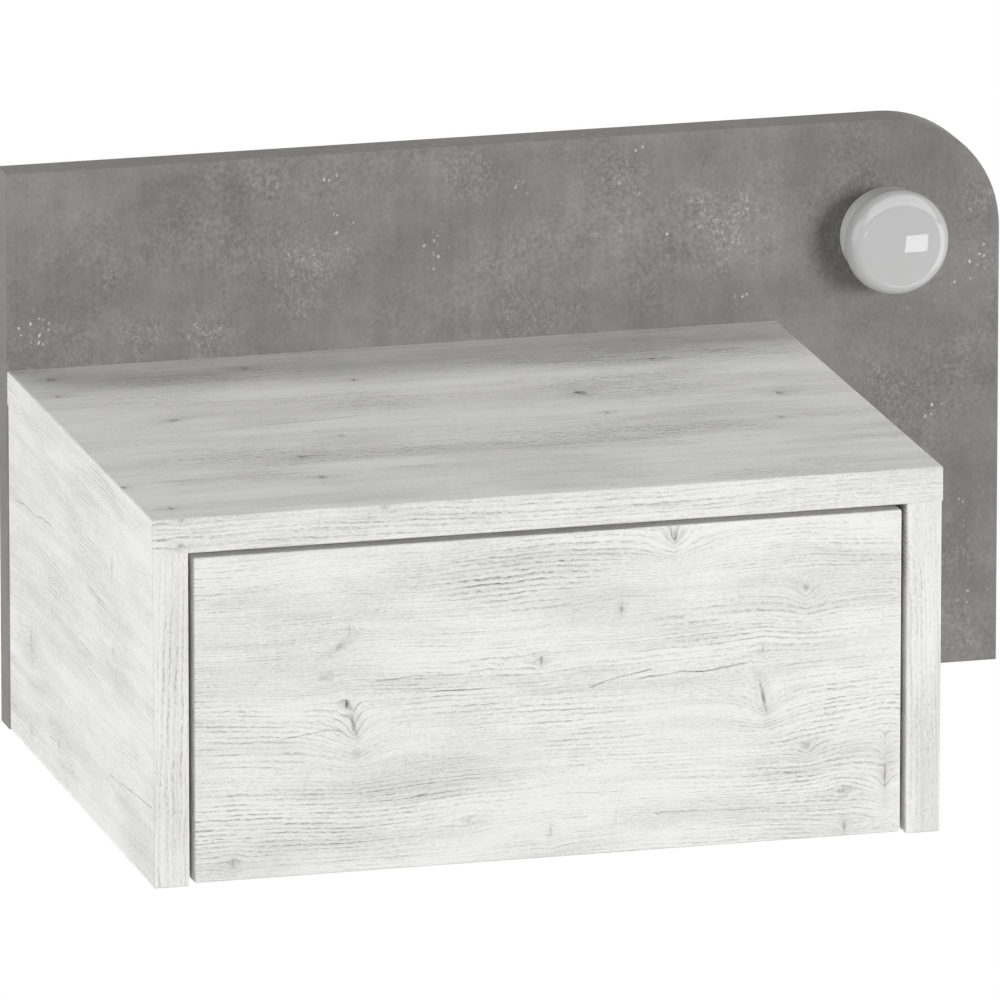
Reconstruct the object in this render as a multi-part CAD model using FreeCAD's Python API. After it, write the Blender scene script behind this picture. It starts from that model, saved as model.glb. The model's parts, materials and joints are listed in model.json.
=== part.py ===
import FreeCAD, Part
import math
import os

# Wall-mounted nightstand with a lamp on its back panel, in millimetres.
# X runs to the right along the wall, Y into the wall and Z up. The wall is the plane Y = 0.
# The origin is midway between the two hanger holes in the panel's back.
V = FreeCAD.Vector
X = V(1, 0, 0)
Y = V(0, 1, 0)
Z = V(0, 0, 1)
os.makedirs("parts", exist_ok=True)

# Carcass and back panel
board = 18.0
panel_width = 520.0
panel_rise = 102.0
panel_corner = 60.0
carcass_width = 401.0
carcass_height = 187.0
top_overhang = 0.5
bottom_raise = 20.0
bottom_setback = 3.0
soft_edge = 1.0

# Wall hangers
hanger_drop = 60.0
hanger_from_lamp = 50.0
hanger_plate = (40.0, 60.0, 2.0)
hanger_below = 25.0
keyhole_entry_r = 5.0
keyhole_neck_r = 2.5
keyhole_rise = 15.0
head_pocket_r = 8.0
head_pocket_depth = 10.0
hanger_corner = 3.0
hanger_screw_inset = 7.0

# Drawer
front_gap_side = 2.5
front_gap_top = 2.8
front_lift = 1.2
front_recess = 0.4
box_wall = 12.0
box_past_slide = 6.0
box_rear_gap = 25.6
box_clear_under = 9.0
box_clear_over = 17.0
sheet_bottom = 3.0
sheet_play = 0.5
groove_depth = 6.0
groove_up = 10.0

# Telescopic slides with two rows of balls on each level
slide_width = 12.7
slide_height = 45.0
slide_length = 250.0
slide_from_front = 2.0
slide_below_middle = 10.5
slide_sheet = 1.0
slide_bend = 1.0
ball_r = 1.25
race_play = 0.1
race_slant = 50.0
outer_ball_x = 8.8
middle_web_x = 2.6
cage_sheet = 0.4
cage_bend = 0.6
cage_length = 110.0
cage_finger = 0.5
cage_lift = 0.45
cage_inner_lift = 0.28
cage_play = 0.35
ball_pocket_play = 0.15
balls_per_row = 4
ball_span = 96.0

# Lamp, measured outwards from the panel's front face
lamp_base_r = 24.7
lamp_base_depth = 12.0
lamp_dome_r = 27.2
lamp_widest = 18.5
lamp_depth = 28.0
lamp_edge_r = 8.0
lamp_rim_r = 24.9
lamp_wall = 1.8
lamp_travel = 1.2
lamp_play = 0.3
lamp_floor = 1.5
lamp_skirt_play = 0.4
lamp_skirt_wall = 1.6
lamp_skirt_rise = 1.0
lamp_lip = 0.7
lamp_ring_depth = 1.5
lamp_rim_round = 0.5
lamp_base_chamfer = (0.4, 0.6)
lamp_board_lift = 8.0
lamp_board_sheet = 1.2
lamp_board_r = 18.5
lamp_post_reach = 14.0
lamp_post_r = 2.6
lamp_screw_reach = 15.0
switch_half = 3.5
switch_height = 3.8
plunger_r = 1.75
plunger_out = 2.5
plunger_play = 0.3
plunger_end = 1.0
push_post_r = 2.5
led_half = 1.5
led_height = 0.8
led_reach = 13.5
terminal_x = (6.0, 14.0)
terminal_y = (1.5, 9.5)
terminal_height = 3.6
cord_bore_r = 3.5
cord_play = 0.5
grommet_r = 6.0
grommet_flange = (9.0, 1.5)

# Wood screws: radius of the shank, radius of the head, length
panel_screw_size = (2.0, 4.0, 50.0)
hanger_screw_size = (1.75, 3.5, 14.0)
slide_screw_size = (1.75, 3.5, 15.0)
runner_screw_size = (1.5, 3.0, 10.0)
back_screw_size = (2.0, 4.0, 40.0)

# Pan-head screws: radius of the shank, radius of the head, height of the head, length
bottom_screw_size = (1.5, 3.5, 1.8, 16.0)
base_screw_size = (1.75, 3.2, 1.8, 13.0)
board_screw_size = (0.9, 1.8, 1.0, 5.5)

# Dowels: radius, reach behind the joint, reach ahead of it
carcass_dowel_size = (4.0, 12.0, 18.0)
drawer_dowel_size = (3.0, 11.0, 16.0)
dowel_chamfer = 0.8

# Cams: radius and height of the disc, its distance from the joint, then the bolt's shank radius,
# thread radius and thread length
carcass_cam_size = (7.5, 13.5, 34.0, 3.0, 2.5, 11.0)
drawer_cam_size = (6.0, 9.5, 24.0, 2.2, 2.0, 11.0)
cam_channel_play = 0.4
cam_channel_start = 2.5
cam_slot_depth = 1.2
bolt_neck_start = 7.0
bolt_neck_end = 1.0
bolt_neck_slope = (1.0, 0.5)
bolt_head_end = 1.5

# Clearances between pieces that stay together
screw_fit = 0.1
dowel_fit = 0.05
cam_fit = 0.1
seat_fit = 0.05
pocket_fit = 0.2
groove_fit = 0.1
cam_hole_room = 0.3
hole_room = 0.5
cut_over = 1.0

# Places of the fastenings along the boards
cam_from_back = 50.0
cam_from_front = 52.0
bottom_cam_inset = 47.0
dowel_from_cam = 32.0
side_screw_down = 20.0
side_screw_up = 55.0
rail_screw_reach = 100.0
box_screw_down = 18.0
box_dowel_up = 26.0
box_screw_up = 19.0
sheet_screw_inset = 47.0
outer_screw_inset = (17.0, 41.0)
inner_screw_inset = (23.0, 22.0)

# Levels that follow from the sizes above
box_length = slide_from_front + slide_length + box_past_slide
side_depth = front_recess + board + box_length + box_rear_gap
hanger_spacing = panel_width - 2 * (panel_corner + hanger_from_lamp)
panel_right = panel_width / 2
panel_left = -panel_right
panel_top = hanger_drop
panel_front = -board
top_face = panel_top - panel_rise
top_under = top_face - board
low = top_face - carcass_height
side_front = panel_front - side_depth
left_out = panel_left + top_overhang
left_in = left_out + board
right_out = left_out + carcass_width
right_in = right_out - board
middle_x = (left_out + right_out) / 2
bottom_under = low + bottom_raise
bottom_top = bottom_under + board
front_face = side_front + front_recess
front_back = front_face + board
box_left = left_in + slide_width
box_right = right_in - slide_width
box_low = bottom_top + box_clear_under
box_top = top_under - box_clear_over
box_end = front_back + box_length
sheet_low = box_low + groove_up
sheet_top = sheet_low + sheet_bottom
slide_z = (box_low + box_top) / 2 - slide_below_middle
slide_y = front_back + slide_from_front
lamp_at = V(panel_right - panel_corner, panel_front, panel_top - panel_corner)


def block(x, y, z):
    """Block that fills three low and high limits."""
    return Part.makeBox(x[1] - x[0], y[1] - y[0], z[1] - z[0], V(x[0], y[0], z[0]))


def rod(radius, low_end, high_end, at=V(0, 0, 0)):
    """Round bar along Z between two heights."""
    return Part.makeCylinder(radius, high_end - low_end, at + Z * low_end)


def spun(face):
    """Solid made by turning a face once around the Z axis."""
    solid = face.revolve(V(0, 0, 0), Z, 360)
    if solid.Volume < 0:
        solid.reverse()
    return solid


def turned(outline):
    """Round piece about Z from its radius and height at each corner."""
    corners = [V(radius, 0, height) for radius, height in outline]
    return spun(Part.Face(Part.makePolygon(corners + corners[:1])))


def seat(shape, foot, way, side=None):
    """Copy of a piece with its origin at foot, Z along way and, if given, X along side."""
    if side is None:
        turn = FreeCAD.Rotation(Z, way)
    else:
        turn = FreeCAD.Rotation(side, way.cross(side), way, "ZXY")
    copy = shape.copy()
    copy.Placement = FreeCAD.Placement(foot, turn)
    return copy


def flip(shape):
    """The same piece on the other side of the carcass."""
    return shape.mirror(V(middle_x, 0, 0), X)


def pairs(shapes):
    """Left pieces together with their right-hand twins."""
    return shapes + [flip(shape) for shape in shapes]


def soften(shape, radius, wanted):
    """Round the edges whose middle point the test accepts."""
    return shape.makeFillet(radius, [edge for edge in shape.Edges if wanted(edge.CenterOfMass)])


def near(value, level):
    """True where a coordinate lies on a level."""
    return abs(value - level) < 0.01


def rounded_plate(x, z, corner, y):
    """Plate standing in the XZ plane with four round corners."""
    plate = block(x, y, z)
    return plate.makeFillet(corner, [edge for edge in plate.Edges if abs(edge.tangentAt(0).y) > 0.99])


def obround(radius, rise, y, at_x):
    """Upright slot with round ends, from the hanger line up to rise."""
    ends = [Part.makeCylinder(radius, y[1] - y[0], V(at_x, y[0], z), Y) for z in (0.0, rise)]
    middle = block((at_x - radius, at_x + radius), y, (0.0, rise))
    return middle.fuse(ends).removeSplitter()


def save(name, shape):
    """Write one node."""
    shape.exportStep("parts/" + name + ".step")


def save_group(name, shapes):
    """Write several like pieces as one node."""
    save(name, Part.makeCompound(shapes))


def cross(reach, width, depth):
    """Cross-shaped driver recess at the origin, going in along Z."""
    bar = block((-reach, reach), (-width, width), (-cut_over, depth))
    return bar.fuse(seat(bar, V(0, 0, 0), Z, Y))


class Screw:
    """Countersunk wood screw with its head flush at the origin and its point along Z."""

    recess_shares = (0.6, 0.15, 0.6)

    def __init__(self, shank_r, head_r, length):
        self.shank_r = shank_r
        self.head_r = head_r
        self.length = length
        self.cone = head_r - shank_r

    def piece(self):
        tip = self.length - 2 * self.shank_r
        outline = [(0, 0), (self.head_r, 0), (self.shank_r, self.cone)]
        outline += [(self.shank_r, tip), (0, self.length)]
        reach, width, depth = self.recess_shares
        return turned(outline).cut(cross(reach * self.head_r, width * self.head_r, depth * self.cone))

    def hole(self):
        wide = self.head_r + screw_fit + cut_over
        thin = self.shank_r + screw_fit
        end = self.length + hole_room
        return turned([(0, -cut_over), (wide, -cut_over), (thin, self.cone), (thin, end), (0, end)])


class PanScrew:
    """Pan-head screw whose head stands on the origin plane and whose point lies along Z."""

    crown_share = 0.7
    recess_shares = (0.55, 0.14)

    def __init__(self, shank_r, head_r, head_height, length):
        self.shank_r = shank_r
        self.head_r = head_r
        self.head_height = head_height
        self.length = length

    def piece(self):
        top = -self.head_height
        crown = self.crown_share * self.head_r
        tip = self.length - 2 * self.shank_r
        outline = [(0, top), (crown, top), (self.head_r, top / 2), (self.head_r, 0), (self.shank_r, 0)]
        outline += [(self.shank_r, tip), (0, self.length)]
        reach, width = [share * self.head_r for share in self.recess_shares]
        recess = cross(reach, width, self.head_height / 2)
        recess.translate(V(0, 0, top))
        return turned(outline).cut(recess)

    def hole(self):
        return rod(self.shank_r + screw_fit, -hole_room, self.length + hole_room)


class Dowel:
    """Wooden dowel across a joint at the origin, with chamfered ends."""

    def __init__(self, radius, back, ahead):
        self.radius = radius
        self.back = back
        self.ahead = ahead

    def piece(self):
        small = self.radius - dowel_chamfer
        outline = [(0, -self.back), (small, -self.back), (self.radius, dowel_chamfer - self.back)]
        outline += [(self.radius, self.ahead - dowel_chamfer), (small, self.ahead), (0, self.ahead)]
        return turned(outline)

    def hole(self):
        return rod(self.radius + dowel_fit, -self.back - hole_room, self.ahead + hole_room)


class CamJoint:
    """Cam disc and its bolt. The bolt is screwed in behind the joint plane and runs along Z to the disc."""

    neck_share = 0.66
    slot_shares = (0.5, 0.1)

    def __init__(self, axis_depth, disc_r, disc_height, setback, shank_r, thread_r, thread_length):
        self.axis_depth = axis_depth
        self.disc_r = disc_r
        self.disc_height = disc_height
        self.setback = setback
        self.shank_r = shank_r
        self.thread_r = thread_r
        self.thread_length = thread_length
        self.channel_r = shank_r + cam_channel_play

    def bolt(self):
        neck = self.neck_share * self.shank_r
        head_start = self.setback - bolt_neck_end
        neck_start = self.setback - bolt_neck_start
        head_end = self.setback + bolt_head_end
        outline = [(0, -self.thread_length), (self.thread_r, -self.thread_length), (self.thread_r, 0)]
        outline += [(self.shank_r, 0), (self.shank_r, neck_start), (neck, neck_start + bolt_neck_slope[0])]
        outline += [(neck, head_start - bolt_neck_slope[1]), (self.shank_r, head_start)]
        outline += [(self.shank_r, head_end), (0, head_end)]
        return turned(outline)

    def bolt_holes(self):
        thread = rod(self.thread_r + screw_fit, -self.thread_length - hole_room, 0)
        return thread, rod(self.channel_r, 0, self.setback)

    def disc(self):
        reach = self.disc_r + cut_over
        channel = seat(rod(self.channel_r, -cam_channel_start, reach), V(0, 0, self.axis_depth), X)
        body = rod(self.disc_r, 0, self.disc_height).cut(channel)
        slot_reach, slot_width = [share * self.disc_r for share in self.slot_shares]
        return body.cut(cross(slot_reach, slot_width, cam_slot_depth))

    def disc_hole(self):
        return rod(self.disc_r + cam_fit, -cut_over, self.disc_height + cam_hole_room)


panel_screw = Screw(*panel_screw_size)
hanger_screw = Screw(*hanger_screw_size)
slide_screw = Screw(*slide_screw_size)
runner_screw = Screw(*runner_screw_size)
back_screw = Screw(*back_screw_size)
bottom_screw = PanScrew(*bottom_screw_size)
base_screw = PanScrew(*base_screw_size)
board_screw = PanScrew(*board_screw_size)
carcass_dowel = Dowel(*carcass_dowel_size)
drawer_dowel = Dowel(*drawer_dowel_size)
carcass_cam = CamJoint(board / 2, *carcass_cam_size)
drawer_cam = CamJoint(box_wall / 2, *drawer_cam_size)

left_mid = (left_out + left_in) / 2
bottom_mid = (bottom_under + bottom_top) / 2
box_inner_left = box_left + box_wall
box_inner_right = box_right - box_wall
box_mid = (box_left + box_inner_left) / 2
back_y = (box_end - box_wall, box_end)
back_mid = (back_y[0] + back_y[1]) / 2


def spread(first, last, count):
    """Evenly spaced values from first to last."""
    return [first + (last - first) * step / (count - 1) for step in range(count)]


# Places of the fastenings. Left ones only; the right ones are their mirror twins.
bottom_front = front_back + bottom_setback
top_cam_y = (panel_front - cam_from_back, side_front + cam_from_front)
top_dowel_y = (top_cam_y[0] - dowel_from_cam, top_cam_y[1] + dowel_from_cam)
bottom_cam_y = (panel_front - bottom_cam_inset, bottom_front + bottom_cam_inset)
bottom_dowel_y = (bottom_cam_y[0] - dowel_from_cam, bottom_cam_y[1] + dowel_from_cam)
slide_end = slide_y + slide_length
outer_screw_y = spread(slide_y + outer_screw_inset[0], slide_end - outer_screw_inset[1], 3)
inner_screw_y = spread(slide_y + inner_screw_inset[0], slide_end - inner_screw_inset[1], 3)
inner_screw_x = left_in + slide_width - slide_sheet
sheet_screw_x = spread(box_inner_left + sheet_screw_inset, box_inner_right - sheet_screw_inset, 3)
top_cam_spots = [V(left_mid, y, top_under) for y in top_cam_y]
top_dowel_spots = [V(left_mid, y, top_under) for y in top_dowel_y]
bottom_cam_spots = [V(left_in, y, bottom_mid) for y in bottom_cam_y]
bottom_dowel_spots = [V(left_in, y, bottom_mid) for y in bottom_dowel_y]
side_screw_spots = [V(left_mid, 0, z) for z in (top_under - side_screw_down, low + side_screw_up)]
rail_screw_spots = [V(middle_x - rail_screw_reach, 0, z) for z in (top_under + board / 2, bottom_mid)]
front_cam_spots = [V(box_mid, front_back, (box_low + box_top) / 2)]
front_dowel_spots = [V(box_mid, front_back, z) for z in (box_top - box_screw_down, box_low + box_dowel_up)]
back_screw_spots = [V(box_left, back_mid, z) for z in (box_top - box_screw_down, box_low + box_screw_up)]
bottom_screw_spots = [V(x, back_mid, sheet_low) for x in sheet_screw_x]
outer_screw_spots = [V(left_in + slide_sheet, y, slide_z) for y in outer_screw_y]
inner_screw_spots = [V(inner_screw_x, y, slide_z) for y in inner_screw_y]

panel_screw_spots = side_screw_spots + rail_screw_spots
panel_screws = pairs([seat(panel_screw.piece(), spot, -Y) for spot in panel_screw_spots])
panel_screw_holes = pairs([seat(panel_screw.hole(), spot, -Y) for spot in panel_screw_spots])
thread_hole, shank_hole = carcass_cam.bolt_holes()
top_disc_spots = [V(left_in, spot.y, spot.z - carcass_cam.setback) for spot in top_cam_spots]
bottom_disc_spots = [V(spot.x + carcass_cam.setback, spot.y, bottom_under) for spot in bottom_cam_spots]
front_disc_spots = [V(box_inner_left, spot.y + drawer_cam.setback, spot.z) for spot in front_cam_spots]


# Boards of the carcass
left_side = block((left_out, left_in), (side_front, panel_front), (low, top_under))
left_side = soften(left_side, soft_edge, lambda c: near(c.y, side_front) and not near(c.z, top_under))
left_side = left_side.cut(
    [seat(shank_hole, spot, -Z) for spot in top_cam_spots]
    + [seat(carcass_cam.disc_hole(), spot, -X) for spot in top_disc_spots]
    + [seat(carcass_dowel.hole(), spot, -Z) for spot in top_dowel_spots]
    + [seat(thread_hole, spot, X) for spot in bottom_cam_spots]
    + [seat(carcass_dowel.hole(), spot, X) for spot in bottom_dowel_spots]
    + [seat(slide_screw.hole(), spot, -X) for spot in outer_screw_spots]
    + panel_screw_holes
)
save("left_side_board", left_side)
save("right_side_board", flip(left_side))

top = block(
    (left_out - top_overhang, right_out + top_overhang),
    (side_front - top_overhang, panel_front),
    (top_under, top_face),
)
top = soften(top, soft_edge, lambda c: not near(c.y, panel_front))
top = top.cut(
    pairs([seat(thread_hole, spot, -Z) for spot in top_cam_spots])
    + pairs([seat(carcass_dowel.hole(), spot, -Z) for spot in top_dowel_spots])
    + panel_screw_holes
)
save("top_board", top)

bottom = block((left_in, right_in), (bottom_front, panel_front), (bottom_under, bottom_top))
bottom = bottom.cut(
    pairs([seat(shank_hole, spot, X) for spot in bottom_cam_spots])
    + pairs([seat(carcass_cam.disc_hole(), spot, Z) for spot in bottom_disc_spots])
    + pairs([seat(carcass_dowel.hole(), spot, X) for spot in bottom_dowel_spots])
    + panel_screw_holes
)
save("bottom_board", bottom)

save_group("panel_screws", panel_screws)
save_group("top_dowels", pairs([seat(carcass_dowel.piece(), spot, -Z) for spot in top_dowel_spots]))
save_group("top_cam_bolts", pairs([seat(carcass_cam.bolt(), spot, -Z) for spot in top_cam_spots]))
save_group("top_cam_discs", pairs([seat(carcass_cam.disc(), spot, -X, Z) for spot in top_disc_spots]))
save_group("bottom_dowels", pairs([seat(carcass_dowel.piece(), spot, X) for spot in bottom_dowel_spots]))
save_group("bottom_cam_bolts", pairs([seat(carcass_cam.bolt(), spot, X) for spot in bottom_cam_spots]))
save_group("bottom_cam_discs", pairs([seat(carcass_cam.disc(), spot, Z, -X) for spot in bottom_disc_spots]))


# Back panel with one large round corner, the hanger pockets and the lamp's holes
hanger_x = (-hanger_spacing / 2, hanger_spacing / 2)
plate_z = (-hanger_below, hanger_plate[1] - hanger_below)
plate_screw_z = (plate_z[0] + hanger_screw_inset, plate_z[1] - hanger_screw_inset)
hanger_screw_spots = [V(x, 0, z) for x in hanger_x for z in plate_screw_z]
base_screw_spots = [lamp_at + V(side * lamp_screw_reach, -lamp_floor, 0) for side in (-1, 1)]

arc_x = panel_right - panel_corner
arc_z = panel_top - panel_corner
slant = panel_corner * math.sqrt(0.5)
arc = Part.Arc(
    V(arc_x, 0, panel_top),
    V(arc_x + slant, 0, arc_z + slant),
    V(panel_right, 0, arc_z),
).toShape()
rim = [
    Part.makeLine(V(panel_left, 0, low), V(panel_left, 0, panel_top)),
    Part.makeLine(V(panel_left, 0, panel_top), V(arc_x, 0, panel_top)),
    arc,
    Part.makeLine(V(panel_right, 0, arc_z), V(panel_right, 0, low)),
    Part.makeLine(V(panel_right, 0, low), V(panel_left, 0, low)),
]
panel = Part.Face(Part.Wire(rim)).extrude(V(0, panel_front, 0))
panel = soften(panel, soft_edge, lambda c: near(c.y, panel_front))

panel_cuts = list(panel_screw_holes)
for x in hanger_x:
    half = hanger_plate[0] / 2 + pocket_fit
    wide_z = (plate_z[0] - pocket_fit, plate_z[1] + pocket_fit)
    pocket_y = (-hanger_plate[2], cut_over)
    pocket_corner = hanger_corner + pocket_fit
    panel_cuts.append(rounded_plate((x - half, x + half), wide_z, pocket_corner, pocket_y))
    panel_cuts.append(obround(head_pocket_r, keyhole_rise, (-hanger_plate[2] - head_pocket_depth, 0.0), x))
panel_cuts += [seat(hanger_screw.hole(), spot, -Y) for spot in hanger_screw_spots]
panel_cuts += [seat(base_screw.hole(), spot, Y) for spot in base_screw_spots]
panel_cuts.append(seat(rod(grommet_r + seat_fit, -cut_over, board + cut_over), lamp_at, Y))
flange_low = board - grommet_flange[1]
panel_cuts.append(seat(rod(grommet_flange[0] + seat_fit, flange_low, board + cut_over), lamp_at, Y))
save("back_panel", panel.cut(panel_cuts))

hanger_names = ("left_hanger_plate", "right_hanger_plate")
for name, x in zip(hanger_names, hanger_x):
    half = hanger_plate[0] / 2
    plate = rounded_plate((x - half, x + half), plate_z, hanger_corner, (-hanger_plate[2], 0.0))
    through = (-hanger_plate[2] - cut_over, cut_over)
    entry = Part.makeCylinder(keyhole_entry_r, through[1] - through[0], V(x, through[0], 0), Y)
    neck = obround(keyhole_neck_r, keyhole_rise, through, x)
    holes = [seat(hanger_screw.hole(), spot, -Y) for spot in hanger_screw_spots]
    save(name, plate.cut([entry, neck] + holes))
save_group("hanger_screws", [seat(hanger_screw.piece(), spot, -Y) for spot in hanger_screw_spots])


# Telescopic slides: a path across each member, bent from sheet, with round races for the balls
race_r = ball_r + race_play + slide_sheet / 2
outer_ball = (outer_ball_x, slide_height / 2 - slide_sheet / 2 - race_r)
slant_turn = math.radians(race_slant)
inner_ball = (
    outer_ball[0] - 2 * race_r * math.cos(slant_turn),
    outer_ball[1] - 2 * race_r * math.sin(slant_turn),
)


def moved_step(step, shift):
    """Edge of one path step, moved by shift to the left of the way the path runs."""
    if step[0] == "line":
        (x0, z0), (x1, z1) = step[1:]
        run = math.hypot(x1 - x0, z1 - z0)
        aside = V((z0 - z1) / run * shift, 0, (x1 - x0) / run * shift)
        return Part.makeLine(V(x0, 0, z0) + aside, V(x1, 0, z1) + aside)
    (cx, cz), radius, start, end = step[1:]
    radius += -shift if end > start else shift
    angles = [math.radians(a) for a in (start, (start + end) / 2, end)]
    spots = [V(cx + radius * math.cos(a), 0, cz + radius * math.sin(a)) for a in angles]
    return Part.Arc(*spots).toShape()


def whole_path(upper):
    """Path of a member from its upper half, which starts on the slide's middle line."""
    lower = []
    for step in reversed(upper):
        if step[0] == "line":
            (x0, z0), (x1, z1) = step[1:]
            lower.append(("line", (x1, -z1), (x0, -z0)))
        else:
            (cx, cz), radius, start, end = step[1:]
            lower.append(("arc", (cx, -cz), radius, -end, -start))
    return lower + upper


def bent_sheet(upper, thickness, y_start, length):
    """Sheet member along Y on the left side board, from the upper half of its path."""
    path = whole_path(upper)
    one = [moved_step(step, thickness / 2) for step in path]
    other = [moved_step(step, -thickness / 2) for step in path]
    caps = []
    for edges_end, index in ((0, 0), (-1, 1)):
        first = one[edges_end].Vertexes[index].Point
        second = other[edges_end].Vertexes[index].Point
        caps.append(Part.makeLine(first, second))
    wire = Part.Wire(Part.__sortEdges__(one + other + caps))
    solid = Part.Face(wire).extrude(V(0, length, 0)).removeSplitter()
    solid.translate(V(left_in, y_start, slide_z))
    return solid


def corner_path(web_x, flange_z, bend, reach_x):
    """Upper half of a channel: up its web, round a bend and along its flange."""
    away = 1 if reach_x > web_x else -1
    centre = (web_x + away * bend, flange_z - bend)
    turn = (180, 90) if away > 0 else (0, 90)
    return [
        ("line", (web_x, 0.0), (web_x, flange_z - bend)),
        ("arc", centre, bend, turn[0], turn[1]),
        ("line", (centre[0], flange_z), (reach_x, flange_z)),
    ]


outer_path = corner_path(slide_sheet / 2, outer_ball[1] + race_r, slide_bend, outer_ball[0])
outer_path.append(("arc", outer_ball, race_r, 90, -20))
middle_path = corner_path(middle_web_x, inner_ball[1] + race_r, slide_bend, inner_ball[0])
middle_path.append(("arc", inner_ball, race_r, 90, race_slant))
middle_path.append(("arc", outer_ball, race_r, 180 + race_slant, 300))
inner_path = corner_path(slide_width - slide_sheet / 2, inner_ball[1] - race_r, slide_bend, inner_ball[0])
inner_path.append(("arc", inner_ball, race_r, 270, 200))

outer_member = bent_sheet(outer_path, slide_sheet, slide_y, slide_length)
outer_member = outer_member.cut([seat(slide_screw.hole(), spot, -X) for spot in outer_screw_spots])
middle_member = bent_sheet(middle_path, slide_sheet, slide_y, slide_length)
inner_member = bent_sheet(inner_path, slide_sheet, slide_y, slide_length)
inner_member = inner_member.cut([seat(runner_screw.hole(), spot, X) for spot in inner_screw_spots])

cage_y = slide_y + (slide_length - cage_length) / 2
ball_pitch = ball_span / (balls_per_row - 1)
ball_y = [cage_y + (cage_length - ball_span) / 2 + ball_pitch * i for i in range(balls_per_row)]
outer_cage_x = (slide_sheet + middle_web_x - slide_sheet / 2) / 2
inner_cage_x = middle_web_x + slide_sheet / 2 + cage_play + cage_sheet / 2


def cage_with_balls(web_x, centre, lift):
    """Ball cage between two members and the balls that lie in its pockets."""
    upper = corner_path(web_x, centre[1] + lift, cage_bend, centre[0] + cage_finger)
    cage = bent_sheet(upper, cage_sheet, cage_y, cage_length)
    spots = [V(left_in + centre[0], y, slide_z) for y in ball_y]
    pockets = [rod(ball_r + ball_pocket_play, -slide_height, slide_height, spot) for spot in spots]
    balls = []
    for spot in spots:
        for side in (-1, 1):
            balls.append(Part.makeSphere(ball_r, spot + V(0, 0, side * centre[1])))
    return cage.cut(pockets), Part.makeCompound(balls)


outer_cage, outer_balls = cage_with_balls(outer_cage_x, outer_ball, cage_lift)
inner_cage, inner_balls = cage_with_balls(inner_cage_x, inner_ball, cage_inner_lift)
slide_pieces = {
    "slide_outer": outer_member,
    "slide_middle": middle_member,
    "slide_inner": inner_member,
    "slide_outer_cage": outer_cage,
    "slide_inner_cage": inner_cage,
    "slide_outer_balls": outer_balls,
    "slide_inner_balls": inner_balls,
}
for name, piece in slide_pieces.items():
    save("left_" + name, piece)
    save("right_" + name, flip(piece))
save_group("slide_outer_screws", pairs([seat(slide_screw.piece(), spot, -X) for spot in outer_screw_spots]))
save_group("slide_inner_screws", pairs([seat(runner_screw.piece(), spot, X) for spot in inner_screw_spots]))


# Drawer
bolt_thread, bolt_shank = drawer_cam.bolt_holes()
groove_z = (sheet_low - groove_fit, sheet_top + groove_fit)
groove_x = (box_inner_left - groove_depth, box_inner_right + groove_depth)
groove_box = block(groove_x, (front_back - groove_depth, box_end + cut_over), groove_z)

front = block(
    (left_in + front_gap_side, right_in - front_gap_side),
    (front_face, front_back),
    (low + front_lift, top_under - front_gap_top),
)
front = soften(front, soft_edge, lambda c: True)
front = front.cut(
    pairs([seat(bolt_thread, spot, Y) for spot in front_cam_spots])
    + pairs([seat(drawer_dowel.hole(), spot, Y) for spot in front_dowel_spots])
    + [groove_box]
)
save("drawer_front", front)

drawer_side = block((box_left, box_inner_left), (front_back, box_end), (box_low, box_top))
drawer_side = soften(drawer_side, soft_edge, lambda c: near(c.z, box_top) and not near(c.y, front_back))
drawer_side = drawer_side.cut(
    [seat(bolt_shank, spot, Y) for spot in front_cam_spots]
    + [seat(drawer_cam.disc_hole(), spot, -X) for spot in front_disc_spots]
    + [seat(drawer_dowel.hole(), spot, Y) for spot in front_dowel_spots]
    + [seat(back_screw.hole(), spot, X) for spot in back_screw_spots]
    + [seat(runner_screw.hole(), spot, X) for spot in inner_screw_spots]
    + [groove_box]
)
save("drawer_left_side", drawer_side)
save("drawer_right_side", flip(drawer_side))

drawer_back = block((box_inner_left, box_inner_right), back_y, (sheet_top, box_top))
drawer_back = soften(drawer_back, soft_edge, lambda c: near(c.z, box_top) and near(c.x, middle_x))
drawer_back = drawer_back.cut(
    pairs([seat(back_screw.hole(), spot, X) for spot in back_screw_spots])
    + [seat(bottom_screw.hole(), spot, Z) for spot in bottom_screw_spots]
)
save("drawer_back", drawer_back)

sheet_in = groove_depth - sheet_play
sheet = block(
    (box_inner_left - sheet_in, box_inner_right + sheet_in),
    (front_back - sheet_in, box_end),
    (sheet_low, sheet_top),
)
save("drawer_bottom", sheet.cut([seat(bottom_screw.hole(), spot, Z) for spot in bottom_screw_spots]))
save_group("drawer_dowels", pairs([seat(drawer_dowel.piece(), spot, Y) for spot in front_dowel_spots]))
save_group("drawer_cam_bolts", pairs([seat(drawer_cam.bolt(), spot, Y) for spot in front_cam_spots]))
save_group("drawer_cam_discs", pairs([seat(drawer_cam.disc(), spot, -X, -Y) for spot in front_disc_spots]))
save_group("drawer_back_screws", pairs([seat(back_screw.piece(), spot, X) for spot in back_screw_spots]))
save_group("drawer_bottom_screws", [seat(bottom_screw.piece(), spot, Z) for spot in bottom_screw_spots])


# Lamp: built about Z, which points out of the panel, and then seated on it
cup_r = lamp_base_r - lamp_wall
cord_hole_r = cord_bore_r + cord_play
lip_r = cup_r - lamp_skirt_play
ring_in_r = lip_r - lamp_lip
skirt_r = ring_in_r - lamp_skirt_play
skirt_in_r = skirt_r - lamp_skirt_wall
rim_height = lamp_base_depth + lamp_travel + lamp_play
ring_low = lamp_base_depth - lamp_ring_depth
lip_top = ring_low - lamp_play
lip_low = lamp_floor + lamp_travel + lamp_skirt_play
board_low = lamp_board_lift
board_high = board_low + lamp_board_sheet
switch_top = board_high + switch_height
plunger_top = switch_top + plunger_out


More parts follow.
